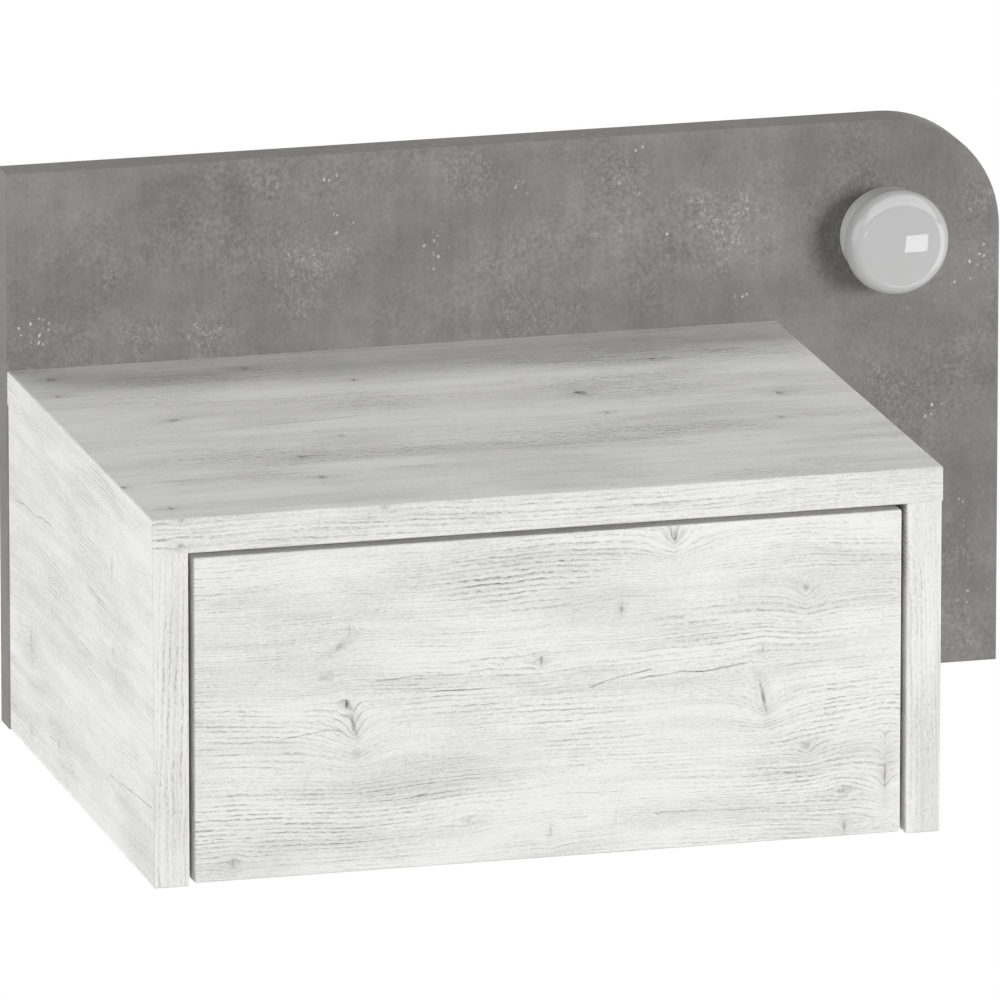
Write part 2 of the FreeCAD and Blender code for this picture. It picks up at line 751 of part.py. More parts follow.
def on_circle(radius, degrees, height=0.0):
    """Point of a circle about the lamp's axis."""
    turn = math.radians(degrees)
    return V(radius * math.cos(turn), radius * math.sin(turn), height)


def lamp_piece(name, shape):
    """Seat a lamp piece on the panel and write it."""
    save(name, seat(shape, lamp_at, -Y))


def profile(points):
    """Closed face in the XZ plane from lines and arcs; an arc is given by its middle and end points."""
    edges = []
    here = V(points[0][0], 0, points[0][1])
    for point in points[1:] + points[:1]:
        if len(point) == 4:
            through = V(point[0], 0, point[1])
            there = V(point[2], 0, point[3])
            edges.append(Part.Arc(here, through, there).toShape())
        else:
            there = V(point[0], 0, point[1])
            edges.append(Part.makeLine(here, there))
        here = there
    return Part.Face(Part.Wire(edges))


post_turns = (90.0, 210.0, 330.0)
led_turns = [turn for turn in range(0, 360, 30) if turn not in post_turns]
base = turned(
    [
        (cord_hole_r, 0),
        (lamp_base_r - lamp_base_chamfer[0], 0),
        (lamp_base_r, lamp_base_chamfer[0]),
        (lamp_base_r, lamp_base_depth - lamp_base_chamfer[1]),
        (lamp_base_r - lamp_base_chamfer[1], lamp_base_depth),
        (cup_r, lamp_base_depth),
        (cup_r, lamp_floor),
        (cord_hole_r, lamp_floor),
    ]
)
post_feet = [on_circle(lamp_post_reach, turn) for turn in post_turns]
posts = [rod(lamp_post_r, lamp_floor, board_low, foot) for foot in post_feet]
base = base.fuse(posts)
board_screw_spots = [foot + Z * board_high for foot in post_feet]
board_screw_holes = [seat(board_screw.hole(), spot, -Z) for spot in board_screw_spots]
floor_hole_r = base_screw.shank_r + screw_fit
floor_hole = rod(floor_hole_r, -cut_over, lamp_floor + cut_over)
floor_holes = [seat(floor_hole, V(side * lamp_screw_reach, 0, 0), Z) for side in (-1, 1)]
lamp_piece("lamp_base", base.cut(board_screw_holes + floor_holes))

ring_out_r = cup_r - seat_fit
ring = rod(ring_out_r, ring_low, lamp_base_depth).cut(rod(ring_in_r, ring_low, lamp_base_depth))
lamp_piece("lamp_retaining_ring", ring)

led_board = rod(lamp_board_r, board_low, board_high).cut(board_screw_holes)
lamp_piece("lamp_led_board", led_board)
board_screws = [seat(board_screw.piece(), spot, -Z) for spot in board_screw_spots]
lamp_piece("lamp_board_screws", Part.makeCompound(board_screws))
led = block((-led_half, led_half), (-led_half, led_half), (board_high, board_high + led_height))
leds = [seat(led, on_circle(led_reach, turn), Z, on_circle(1, turn)) for turn in led_turns]
lamp_piece("lamp_leds", Part.makeCompound(leds))

switch = block((-switch_half, switch_half), (-switch_half, switch_half), (board_high, switch_top))
guide_low = switch_top - plunger_end - lamp_travel - lamp_play
switch = switch.cut(rod(plunger_r + plunger_play, guide_low, switch_top + cut_over))
lamp_piece("lamp_switch_body", switch)
lamp_piece("lamp_switch_plunger", rod(plunger_r, guide_low + lamp_travel + lamp_play, plunger_top))
lamp_piece("lamp_terminal", block(terminal_x, terminal_y, (board_low - terminal_height, board_low)))

# The dome's front is a shallow sphere that meets the round edge smoothly
edge_in = lamp_dome_r - lamp_edge_r
rise = lamp_depth - lamp_widest
crown_r = (edge_in**2 + rise**2 - lamp_edge_r**2) / (2 * (rise - lamp_edge_r))
crown_z = lamp_depth - crown_r
lean = math.atan2(edge_in, lamp_widest - crown_z)
skirt_sag = lamp_dome_r - lamp_rim_r
flank_run = lamp_widest - rim_height - lamp_rim_round
flank_r = (skirt_sag**2 + flank_run**2) / (2 * skirt_sag)
flank_lean = math.asin(flank_run / flank_r)


def crown(angle, inset):
    """Point of the dome's front, by angle from the axis."""
    return ((crown_r - inset) * math.sin(angle), crown_z + (crown_r - inset) * math.cos(angle))


def edge(angle, inset):
    """Point of the dome's round edge, by angle from the axis."""
    reach = lamp_edge_r - inset
    return (edge_in + reach * math.sin(angle), lamp_widest + reach * math.cos(angle))


def flank(angle, inset):
    """Point of the dome's side, by angle below its widest circle."""
    centre = lamp_dome_r - flank_r
    return (centre + (flank_r - inset) * math.cos(angle), lamp_widest - (flank_r - inset) * math.sin(angle))


half_edge = (lean + math.pi / 2) / 2
push_post_angle = math.asin(push_post_r / (crown_r - lamp_wall))
inner_lean = 0.82 * flank_lean
dome = profile(
    [
        (0, plunger_top),
        (0, lamp_depth),
        crown(lean / 2, 0) + crown(lean, 0),
        edge(half_edge, 0) + edge(math.pi / 2, 0),
        flank(flank_lean / 2, 0) + flank(flank_lean, 0),
        (lamp_rim_r - lamp_rim_round, rim_height),
        (skirt_r, rim_height),
        (skirt_r, lip_top),
        (lip_r, lip_top),
        (lip_r, lip_low),
        (skirt_in_r, lip_low),
        (skirt_in_r, rim_height + lamp_skirt_rise),
        flank(inner_lean, lamp_wall),
        flank(inner_lean / 2, lamp_wall) + flank(0, lamp_wall),
        edge(half_edge, lamp_wall) + edge(lean, lamp_wall),
        crown((lean + push_post_angle) / 2, lamp_wall) + crown(push_post_angle, lamp_wall),
        (push_post_r, plunger_top),
    ]
)
lamp_piece("lamp_dome", spun(dome))
save_group("lamp_screws", [seat(base_screw.piece(), spot, Y) for spot in base_screw_spots])

grommet = turned(
    [
        (cord_bore_r, 0),
        (grommet_r, 0),
        (grommet_r, flange_low),
        (grommet_flange[0], flange_low),
        (grommet_flange[0], board),
        (cord_bore_r, board),
    ]
)
save("cable_grommet", seat(grommet, lamp_at, Y))
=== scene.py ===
"""Looks of a wall-mounted nightstand: wood decor boards, a concrete-look panel, drawer, slides and lamp.

Everything is in metres in the part's own frame: X to the right along the wall, Y into the wall, Z up.
"""

import json
import logging
import math
from dataclasses import dataclass, field
from enum import Enum
from functools import reduce
from typing import ClassVar

import bpy
import numpy as np
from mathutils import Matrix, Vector


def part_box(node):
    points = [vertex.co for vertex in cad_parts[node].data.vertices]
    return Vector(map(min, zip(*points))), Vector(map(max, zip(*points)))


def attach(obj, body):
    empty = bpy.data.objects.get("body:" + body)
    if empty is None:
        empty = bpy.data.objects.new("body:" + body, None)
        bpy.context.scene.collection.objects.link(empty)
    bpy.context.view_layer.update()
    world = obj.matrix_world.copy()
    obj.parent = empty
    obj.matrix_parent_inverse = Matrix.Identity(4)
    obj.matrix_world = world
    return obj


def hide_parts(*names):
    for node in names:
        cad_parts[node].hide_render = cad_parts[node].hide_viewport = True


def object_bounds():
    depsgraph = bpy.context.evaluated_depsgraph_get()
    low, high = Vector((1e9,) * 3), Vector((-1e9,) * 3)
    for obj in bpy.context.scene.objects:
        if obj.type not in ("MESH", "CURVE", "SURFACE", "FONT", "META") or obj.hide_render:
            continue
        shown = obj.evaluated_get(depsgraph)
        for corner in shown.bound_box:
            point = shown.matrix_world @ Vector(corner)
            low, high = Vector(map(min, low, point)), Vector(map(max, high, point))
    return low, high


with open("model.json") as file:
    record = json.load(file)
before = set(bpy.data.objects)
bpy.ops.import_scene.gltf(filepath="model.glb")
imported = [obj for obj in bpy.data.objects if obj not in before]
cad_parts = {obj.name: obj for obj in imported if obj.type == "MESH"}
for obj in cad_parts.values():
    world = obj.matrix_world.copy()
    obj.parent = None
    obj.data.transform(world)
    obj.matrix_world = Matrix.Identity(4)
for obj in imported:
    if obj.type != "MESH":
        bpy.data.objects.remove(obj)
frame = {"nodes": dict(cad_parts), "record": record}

CAD_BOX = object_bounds()
MM = 0.001
TINY = 1e-12
ALONG_X = 0
ALONG_Y = 1
Array = np.ndarray
Socket = bpy.types.NodeSocket
log = logging.getLogger("nightstand")


class Slot(Enum):
    """Material slots of the record."""

    OAK = "oak_white"
    CONCRETE = "concrete_decor"
    BOARD = "board_white"
    SHEET = "sheet_white"
    DOWEL = "dowel_beech"
    SLIDE = "slide_steel"
    CAGE = "cage_steel"
    BALL = "ball_steel"
    SCREW = "screw_steel"
    CAM = "cam_zinc"
    HANGER = "hanger_steel"
    OPAL = "lamp_opal"
    LAMP_BODY = "lamp_body"
    LED_BOARD = "led_board"
    LED_CHIP = "led_chip"
    SWITCH = "switch_black"
    TERMINAL = "terminal_white"
    GROMMET = "grommet_rubber"


class Face(Enum):
    """Side of a board, as the axis that its normal follows and the sign of that normal."""

    RIGHT = (0, 1)
    LEFT = (0, -1)
    BACK = (1, 1)
    FRONT = (1, -1)
    TOP = (2, 1)
    UNDER = (2, -1)


@dataclass(frozen=True)
class Value:
    """Number or vector in the node tree of a finish, so that a pattern is written as a plain sum."""

    graph: "Graph"
    socket: Socket

    def __add__(self, other: "Value | float") -> "Value":
        """Sum of the two."""
        return self.graph.math("ADD", self, other)

    def __sub__(self, other: "Value | float") -> "Value":
        """Difference of the two."""
        return self.graph.math("SUBTRACT", self, other)

    def __mul__(self, other: "Value | float") -> "Value":
        """Product of the two."""
        return self.graph.math("MULTIPLY", self, other)

    def __abs__(self) -> "Value":
        """Amount without its sign."""
        return self.graph.math("ABSOLUTE", self)

    def larger(self, other: "Value | float") -> "Value":
        """The larger of the two."""
        return self.graph.math("MAXIMUM", self, other)

    def smaller(self, other: "Value | float") -> "Value":
        """The smaller of the two."""
        return self.graph.math("MINIMUM", self, other)

    def step(self, low: float, high: float, start: float = 0.0, end: float = 1.0) -> "Value":
        """Go smoothly from start to end as the value goes from low to high.

        Args:
            low: Value at which the result is start.
            high: Value at which the result is end.
            start: Result at low.
            end: Result at high.

        Returns:
            The result.
        """
        inputs = dict(enumerate((self, low, high, start, end)))
        return self.graph.node("ShaderNodeMapRange", inputs, interpolation_type="SMOOTHSTEP")

    def split(self) -> list["Value"]:
        """The three numbers of a vector or colour."""
        node = self.graph.add("ShaderNodeSeparateXYZ", {0: self})
        return [Value(self.graph, socket) for socket in node.outputs]

    def stretch(self, scale: tuple) -> "Value":
        """The vector with a factor along each axis."""
        return self.graph.node("ShaderNodeMapping", {"Vector": self, "Scale": scale})

    def noise(self, scale: tuple, detail: float = 2.0, rough: float = 0.5) -> "Value":
        """Smooth noise at a place.

        Args:
            scale: Cycles per metre along each axis.
            detail: Number of finer layers.
            rough: Strength of each finer layer.

        Returns:
            Noise about 0.5, from 0 to 1.
        """
        inputs = {"Vector": self.stretch(scale), "Scale": 1.0, "Detail": detail, "Roughness": rough}
        return self.graph.node("ShaderNodeTexNoise", inputs)

    def wander(self, scale: tuple, detail: float = 2.0, rough: float = 0.5) -> "Value":
        """The same noise about 0."""
        return self.noise(scale, detail, rough) - 0.5


class Graph:
    """Node tree of one finish, with short calls for the nodes that the finishes share."""

    def __init__(self, name: str) -> None:
        """Start a material that holds one Principled shader.

        Args:
            name: Name of the material.
        """
        self.material = bpy.data.materials.new(name)
        self.material.use_nodes = True
        self.tree = self.material.node_tree
        self.tree.nodes.clear()
        self.shader = self.add("ShaderNodeBsdfPrincipled", {})
        self.output = self.add("ShaderNodeOutputMaterial", {"Surface": Value(self, self.shader.outputs[0])})

    def add(self, kind: str, inputs: dict, **settings: object) -> bpy.types.Node:
        """Add a node and fill its inputs.

        Args:
            kind: Blender's name for the node.
            inputs: Values, numbers or tuples by the input's name or number.
            settings: Properties of the node.

        Returns:
            The new node.
        """
        node = self.tree.nodes.new(kind)
        for key, setting in settings.items():
            setattr(node, key, setting)
        for key, value in inputs.items():
            self.feed(node.inputs[key], value)
        return node

    def node(self, kind: str, inputs: dict, output: str | int = 0, **settings: object) -> Value:
        """Add a node and take one of its outputs.

        Args:
            kind: Blender's name for the node.
            inputs: Values, numbers or tuples by the input's name or number.
            output: Name or number of the output.
            settings: Properties of the node.

        Returns:
            The output.
        """
        return Value(self, self.add(kind, inputs, **settings).outputs[output])

    def feed(self, target: Socket, value: object) -> None:
        """Link a value to the target, or set the target to a plain one.

        Args:
            target: Input to fill.
            value: Value, number or tuple.
        """
        if isinstance(value, Value):
            self.tree.links.new(value.socket, target)
        else:
            target.default_value = value

    def math(self, operation: str, *values: object) -> Value:
        """Work out one sum with a Math node."""
        return self.node("ShaderNodeMath", dict(enumerate(values)), operation=operation)

    def place(self) -> Value:
        """Object coordinates of the piece."""
        return self.node("ShaderNodeTexCoord", {}, "Object")

    def attribute(self, name: str, output: str = "Vector") -> Value:
        """Values that the piece's mesh holds under a name."""
        return self.node("ShaderNodeAttribute", {}, output, attribute_name=name)

    def ramp(self, value: Value, stops: tuple) -> Value:
        """Read a colour off a ramp.

        Args:
            value: Place on the ramp.
            stops: Places and their colours as (place, (red, green, blue)).

        Returns:
            The colour.
        """
        node = self.add("ShaderNodeValToRGB", {0: value})
        points = node.color_ramp.elements
        while len(points) < len(stops):
            points.new(1.0)
        for point, (at, colour) in zip(points, stops):
            point.position = at
            point.color = (*colour, 1.0)
        return Value(self, node.outputs[0])

    def bump(self, height: Value, depth: float, strength: float = 1.0) -> None:
        """Let a height move the shader's normal.

        Args:
            height: Height from 0 to 1.
            depth: Metres between heights 0 and 1.
            strength: Share of the effect.
        """
        inputs = {"Height": height, "Distance": depth, "Strength": strength}
        self.feed(self.shader.inputs["Normal"], self.node("ShaderNodeBump", inputs))

    def finish(self, **inputs: object) -> bpy.types.Material:
        """Fill the shader's inputs.

        Args:
            inputs: Values by input name, with _ in place of a space.

        Returns:
            The material.
        """
        for name, value in inputs.items():
            self.feed(self.shader.inputs[name.replace("_", " ")], value)
        return self.material


@dataclass(frozen=True)
class WhitewashedOak:
    """Printed wood decor: white ground, grey clouds, growth lines in patches, knots and cracks.

    It reads four attributes of the boards. grain holds the place along the grain, the place across it with
    the knots' deflection, and a number for the face. knot holds the place seen from the nearest knot in core
    sizes, and that knot's ink. mark holds the distance to the face's border, the strength of its patches and
    the share of its growth lines. crack holds two pairs of distance and weight. The weights say what each
    kind of mark adds to the darkness, which goes from 0 for white to 1 for ink.
    """

    white: tuple = (0.90, 0.898, 0.887)
    pale: tuple = (0.72, 0.717, 0.705)
    grey: tuple = (0.44, 0.436, 0.426)
    ink: tuple = (0.12, 0.117, 0.113)
    wide_spacing: float = 2.5 * MM
    close_spacing: float = 1.5 * MM
    sway: float = 3.0
    slow_wander: float = 24.0 * MM
    quick_wander: float = 2.6 * MM
    saw_slant: float = 0.22
    edge_width: float = 0.9 * MM
    crack_half: float = 0.65 * MM
    crack_shiver: float = 1.8 * MM
    knot_raggedness: float = 3.2
    ground: float = -0.06
    cloud_weight: float = 0.20
    streak_weight: float = 0.09
    sand_weight: float = 0.50
    line_weight: float = 0.64
    row_weight: float = 0.32
    pore_weight: float = 0.16
    saw_weight: float = 0.06
    edge_weight: float = 0.07
    strongest_patch: float = 1.1
    line_sink: float = 0.25
    relief: float = 0.12 * MM
    relief_share: float = 0.7
    roughness: float = 0.52
    gloss: float = 0.25

    def material(self) -> bpy.types.Material:
        """Make the material.

        Returns:
            The material.
        """
        graph = Graph("whitewashed_oak")
        grain = graph.attribute("grain")
        border, strength, share = graph.attribute("mark").split()
        bent = self.bent(grain)
        patch = bent.noise((8.0, 21.0, 1.0)).step(0.46, 0.70) + strength
        lines = self.lines(bent, self.wide_spacing) * patch.smaller(self.strongest_patch)
        weak = bent.noise((14.0, 40.0, 1.0)).step(0.34, 0.64, 0.35, 1.0)
        rows = self.lines(bent, self.close_spacing) * weak
        clouds = bent.noise((9.0, 34.0, 1.0), 3.0, 0.6).step(0.34, 0.70)
        streaks = bent.noise((5.0, 170.0, 1.0), 2.0, 0.6).step(0.34, 0.70)
        sand = grain.wander((480.0, 1000.0, 1.0), 3.0, 0.7)
        marked = self.knots(grain).larger(self.cracks(bent))
        dark = clouds * self.cloud_weight + self.ground + streaks * self.streak_weight
        dark = dark + sand * self.sand_weight
        dark = dark + (lines * self.line_weight + rows * self.row_weight) * share
        dark = dark + self.pores(bent) * self.pore_weight + self.saw_marks(grain) * self.saw_weight
        dark = dark + border.step(0.0, self.edge_width, self.edge_weight, 0.0) + marked
        stops = ((0.0, self.white), (0.25, self.pale), (0.6, self.grey), (1.0, self.ink))
        sunk = lines * self.line_sink + marked
        graph.bump(sunk * -1.0 + 1.0, self.relief, self.relief_share)
        shine = streaks.step(0.0, 1.0, self.roughness - 0.05, self.roughness + 0.08)
        colour = graph.ramp(dark, stops)
        return graph.finish(Base_Color=colour, Roughness=shine, Specular_IOR_Level=self.gloss)

    def bent(self, grain: Value) -> Value:
        """Grain coordinates with a slow and a quick sideways wander of the fibres.

        Args:
            grain: Place along, place across and number of the face.

        Returns:
            The wandering coordinates.
        """
        along, across, number = grain.split()
        slow = grain.wander((3.0, 9.0, 1.0)) * self.slow_wander
        quick = grain.wander((30.0, 70.0, 1.0)) * self.quick_wander
        return grain.graph.node("ShaderNodeCombineXYZ", {0: along, 1: across + slow + quick, 2: number})

    def lines(self, bent: Value, spacing: float) -> Value:
        """Growth lines: a saw-tooth across the grain, uneven in spacing and in strength along each line.

        Args:
            bent: Grain coordinates.
            spacing: Mean distance between lines in metres.

        Returns:
            Darkness from 0 to 1.
        """
        _, across, _ = bent.split()
        shift = bent.noise((2.5, 0.16 / spacing, 1.0)) * self.sway
        shift = shift + bent.wander((240.0, 0.8 / spacing, 1.0), 2.0, 0.6) * 0.6
        tooth = bent.graph.math("FRACT", across * (1.0 / spacing) + shift)
        edge = tooth.step(0.40, 0.86) * tooth.step(0.86, 1.0, 1.0, 0.0)
        long = bent.noise((45.0, 1.2 / spacing, 1.0), 2.0, 0.6).step(0.34, 0.62, 0.25, 1.0)
        short = bent.noise((280.0, 1.6 / spacing, 1.0), 2.0, 0.6).step(0.38, 0.60, 0.3, 1.0)
        return edge * (long * short)

    def pores(self, bent: Value) -> Value:
        """Short dark dashes along the grain, in patches."""
        dashes = bent.noise((480.0, 1400.0, 1.0), 1.0).step(0.54, 0.72)
        return dashes * bent.noise((24.0, 60.0, 1.0)).step(0.42, 0.64, 0.1, 1.0)

    def saw_marks(self, grain: Value) -> Value:
        """Faint marks of the saw, slanting across the grain, in patches.

        Args:
            grain: Grain coordinates.

        Returns:
            Darkness from 0 to 1.
        """
        turn = {"Vector": grain, "Angle": self.saw_slant}
        slanted = grain.graph.node("ShaderNodeVectorRotate", turn, rotation_type="Z_AXIS")
        teeth = slanted.noise((380.0, 16.0, 1.0), 1.0).step(0.60, 0.72)
        return teeth * grain.noise((16.0, 16.0, 1.0), 1.0).step(0.52, 0.66)

    def knots(self, grain: Value) -> Value:
        """Dark pointed cores with ragged borders and a grey surround.

        The distance from a knot is the place along the grain plus the square of the place across it, both in
        core sizes, with noise that makes the border ragged.

        Args:
            grain: Grain coordinates.

        Returns:
            Darkness from 0 to 1.
        """
        along, across, ink = grain.graph.attribute("knot").split()
        ragged = grain.wander((600.0, 240.0, 1.0), 4.0, 0.75) * self.knot_raggedness
        far = across * across + abs(along) + ragged
        return (far.step(-0.2, 1.3, 0.55, 0.0) + far.step(0.6, 6.0, 0.15, 0.0)) * ink

    def cracks(self, bent: Value) -> Value:
        """Hairlines where the distance to a crack is near zero, thick and thin along their run.

        Args:
            bent: Grain coordinates.

        Returns:
            Darkness from 0 to 1.
        """
        first, first_weight, second = bent.graph.attribute("crack", "Color").split()
        second_weight = bent.graph.attribute("crack", "Alpha")
        shiver = bent.wander((130.0, 10.0, 1.0), 2.0, 0.6) * self.crack_shiver
        depth = bent.noise((55.0, 5.0, 1.0)).step(0.34, 0.62, 0.18, 0.66)
        lanes = ((first, first_weight), (second, second_weight))
        found = [abs(shiver + off).step(0.0, self.crack_half, 1.0, 0.0) * weight for off, weight in lanes]
        return found[0].larger(found[1]) * depth


@dataclass(frozen=True)
class ConcreteDecor:
    """Concrete-look laminate: grey clouds, sandy patches, pale bloom and clusters of small white flecks.

    The spots are (X, Z, reach) in millimetres on the panel's front. A painted shade darkens the panel's right
    part,
    around the lamp: it grows from one X to another, by an amount that goes between two heights. The weights
    say what each kind of mark adds to the tone, which goes from 0 for dark to 1 for a fleck.
    """

    dark: tuple = (0.165, 0.162, 0.157)
    middle: tuple = (0.232, 0.228, 0.221)
    light: tuple = (0.315, 0.311, 0.303)
    fleck: tuple = (0.62, 0.615, 0.60)
    roughness: float = 0.58
    gloss: float = 0.12
    relief: float = 0.05 * MM
    relief_share: float = 0.5
    ground: float = 0.435
    broad_weight: float = 0.35
    cloud_weight: float = 0.90
    smudge_weight: float = 0.14
    drip_weight: float = 0.22
    sand_weight: float = 1.3
    bloom_weight: float = 0.34
    fleck_weight: float = 0.60
    fleck_rise: float = 0.5
    # painted shade around the lamp: the X span over which it grows, the heights, and how much darker it makes
    # the tone
    painted_shade_across: tuple = (0.12, 0.19)
    painted_shade_heights: tuple = (-0.14, -0.03)
    painted_shade_tones: tuple = (-0.06, -0.15)
    front: float = -18.0
    bloom_spots: tuple = (
        ((-107, 1, 44), (-158, -31, 24), (-190, -27, 22), (-206, 2, 12), (-120, 45, 16), (116, 11, 40))
        + ((10, -31, 32), (-20, 44, 28), (60, 38, 26), (205, -85, 30), (248, 16, 22), (240, -172, 16))
        + ((160, -160, 14),)
    )
    fleck_spots: tuple = (
        ((-95, 52, 13), (-87, 23, 11), (-246, -23, 15), (-39, 5, 16), (8, 34, 10), (86, 8, 7), (125, -30, 7))
        + ((68, 52, 7), (225, -94, 10), (250, -15, 12), (240, -28, 8), (244, -140, 12), (238, -158, 8))
        + ((243, -194, 8),)
    )

    def material(self) -> bpy.types.Material:
        """Make the material.

        Returns:
            The material.
        """
        graph = Graph("concrete_decor")
        spot = graph.place()
        across, _, up = spot.split()
        broad = spot.wander((6.5, 6.5, 8.0))
        clouds = spot.wander((24.0, 24.0, 28.0), 5.0, 0.68)
        smudge = spot.noise((31.0, 31.0, 31.0), 3.0, 0.6).step(0.56, 0.76)
        drips = spot.wander((160.0, 160.0, 8.0), 3.0, 0.6)
        sandy = spot.noise((17.0, 17.0, 20.0), 3.0, 0.6).step(0.42, 0.64, 0.3, 1.0)
        sand = spot.wander((430.0, 430.0, 370.0), 3.0, 0.75)
        flecks = self.flecks(spot)
        # painted shade: the panel is darker from left of the lamp rightwards, most from the lamp's height up
        # and less towards the bottom
        shade = across.step(*self.painted_shade_across) * up.step(*self.painted_shade_heights, *self.painted_shade_tones)
        tone = shade + self.ground + broad * self.broad_weight + clouds * self.cloud_weight
        tone = tone - smudge * self.smudge_weight + drips * self.drip_weight
        tone = tone + sand * sandy * self.sand_weight + self.bloom(spot) * self.bloom_weight
        tone = tone + flecks * self.fleck_weight
        stops = ((0.1, self.dark), (0.42, self.middle), (0.75, self.light), (1.0, self.fleck))
        graph.bump(flecks * self.fleck_rise + sand, self.relief, self.relief_share)
        shine = clouds.step(-0.2, 0.2, self.roughness - 0.06, self.roughness + 0.08)
        colour = graph.ramp(tone, stops)
        return graph.finish(Base_Color=colour, Roughness=shine, Specular_IOR_Level=self.gloss)

    def near(self, spot: Value, places: tuple) -> Value:
        """How near a point is to the nearest of some places.

        Args:
            spot: Object coordinates.
            places: Places on the front as (X, Z, reach) in millimetres.

        Returns:
            1 at a place, 0 from its reach on.
        """
        found = []
        for x, z, reach in places:
            ends = {0: spot, 1: (x * MM, self.front * MM, z * MM)}
            gap = spot.graph.node("ShaderNodeVectorMath", ends, "Value", operation="DISTANCE")
            found.append(gap.step(0.1 * reach * MM, reach * MM, 1.0, 0.0))
        return reduce(Value.larger, found)

    def bloom(self, spot: Value) -> Value:
        """Mottled pale efflorescence in torn patches.

        Args:
            spot: Object coordinates.

        Returns:
            Strength from -0.3 to 1, below 0 between the specks.
        """
        torn = spot.wander((60.0, 60.0, 48.0), 4.0, 0.7)
        patch = (torn * 3.0 + self.near(spot, self.bloom_spots)).step(0.15, 1.0)
        return patch * spot.noise((700.0, 700.0, 480.0), 3.0, 0.75).step(0.42, 0.68, -0.3, 1.0)

    def flecks(self, spot: Value) -> Value:
        """White flecks a millimetre or so across, in clusters, with a few faint ones elsewhere.

        Each fleck is the surround of a scattered point, and a random share of the points has none.

        Args:
            spot: Object coordinates.

        Returns:
            Strength from 0 to 1.
        """
        torn = spot.wander((120.0, 120.0, 120.0), 3.0, 0.7)
        patch = (torn * 1.8 + self.near(spot, self.fleck_spots)).step(0.10, 0.6)
        rare = spot.noise((28.0, 28.0, 28.0), 3.0, 0.7).step(0.57, 0.74, 0.0, 0.5)
        shaken = spot.wander((700.0, 700.0, 700.0), 1.0)
        points = {"Vector": spot.stretch((400.0, 400.0, 300.0)), "Scale": 1.0}
        far = spot.graph.node("ShaderNodeTexVoronoi", points, "Distance")
        chosen, _, _ = spot.graph.node("ShaderNodeTexVoronoi", points, "Color").split()
        dot = (shaken * 0.9 + far).step(0.12, 0.36, 1.0, 0.0)
        return dot * chosen.step(0.15, 0.55) * patch.larger(rare)


@dataclass(frozen=True)
class PaperLaminate:
    """Plain melamine-faced board: one colour with faint fibres and a fine press texture."""

    name: str
    light: tuple
    shade: tuple
    roughness: float = 0.5
    relief: float = 0.03 * MM

    def material(self) -> bpy.types.Material:
        """Make the material.

        Returns:
            The material.
        """
        graph = Graph(self.name)
        spot = graph.place()
        fibres = spot.noise((160.0, 60.0, 160.0), 3.0, 0.6)
        tone = spot.noise((26.0, 18.0, 26.0)) * 0.6 + fibres * 0.4
        graph.bump(spot.noise((1500.0, 1500.0, 1500.0), 1.0), self.relief, 0.5)
        shine = fibres.step(0.3, 0.7, self.roughness - 0.05, self.roughness + 0.07)
        stops = ((0.25, self.shade), (0.75, self.light))
        return graph.finish(Base_Color=graph.ramp(tone, stops), Roughness=shine)


@dataclass(frozen=True)
class Beech:
    """Plain beech with short brown rays."""

    light: tuple = (0.66, 0.48, 0.30)
    ray: tuple = (0.45, 0.29, 0.16)
    roughness: float = 0.6
    relief: float = 0.05 * MM

    def material(self) -> bpy.types.Material:
        """Make the material.

        Returns:
            The material.
        """
        graph = Graph("beech")
        spot = graph.place()
        rays = spot.noise((700.0, 700.0, 90.0)).step(0.55, 0.72)
        tone = rays * 0.6 + spot.noise((60.0, 60.0, 20.0)) * 0.4
        graph.bump(rays, self.relief, 0.4)
        stops = ((0.1, self.light), (0.9, self.ray))
        return graph.finish(Base_Color=graph.ramp(tone, stops), Roughness=self.roughness)


@dataclass(frozen=True)
class PlatedSteel:
    """Zinc plated or plain steel: fine draw lines along Y, soft spangles and worn patches."""

    name: str
    bright: tuple
    dull: tuple
    roughness: float
    line_scale: tuple = (1400.0, 18.0, 1400.0)
    relief: float = 0.012 * MM

    def material(self) -> bpy.types.Material:
        """Make the material.

        Returns:
            The material.
        """
        graph = Graph(self.name)
        spot = graph.place()
        drawn = spot.noise(self.line_scale, 2.0, 0.6)
        tone = drawn * 0.5 + spot.noise((120.0, 90.0, 120.0)) * 0.5
        graph.bump(drawn, self.relief, 0.4)
        shine = tone.step(0.3, 0.7, self.roughness - 0.08, self.roughness + 0.12)
        stops = ((0.3, self.dull), (0.7, self.bright))
        return graph.finish(Base_Color=graph.ramp(tone, stops), Metallic=1.0, Roughness=shine)


@dataclass(frozen=True)
class GlossPlastic:
    """Moulded gloss shell: an even opal body with a faint flow pattern and slightly uneven polish."""

    name: str
    light: tuple
    shade: tuple
    roughness: float
    relief: float = 0.004 * MM

    def material(self) -> bpy.types.Material:
        """Make the material.

        Returns:
            The material.
        """
        graph = Graph(self.name)
        spot = graph.place()
        flow = spot.noise((22.0, 40.0, 22.0))
        polish = spot.noise((90.0, 90.0, 90.0)).step(0.3, 0.7, self.roughness, self.roughness * 1.6)
        graph.bump(spot.noise((260.0, 260.0, 260.0), 1.0), self.relief, 0.3)
        stops = ((0.3, self.shade), (0.7, self.light))
        return graph.finish(Base_Color=graph.ramp(flow, stops), Roughness=polish, IOR=1.5)


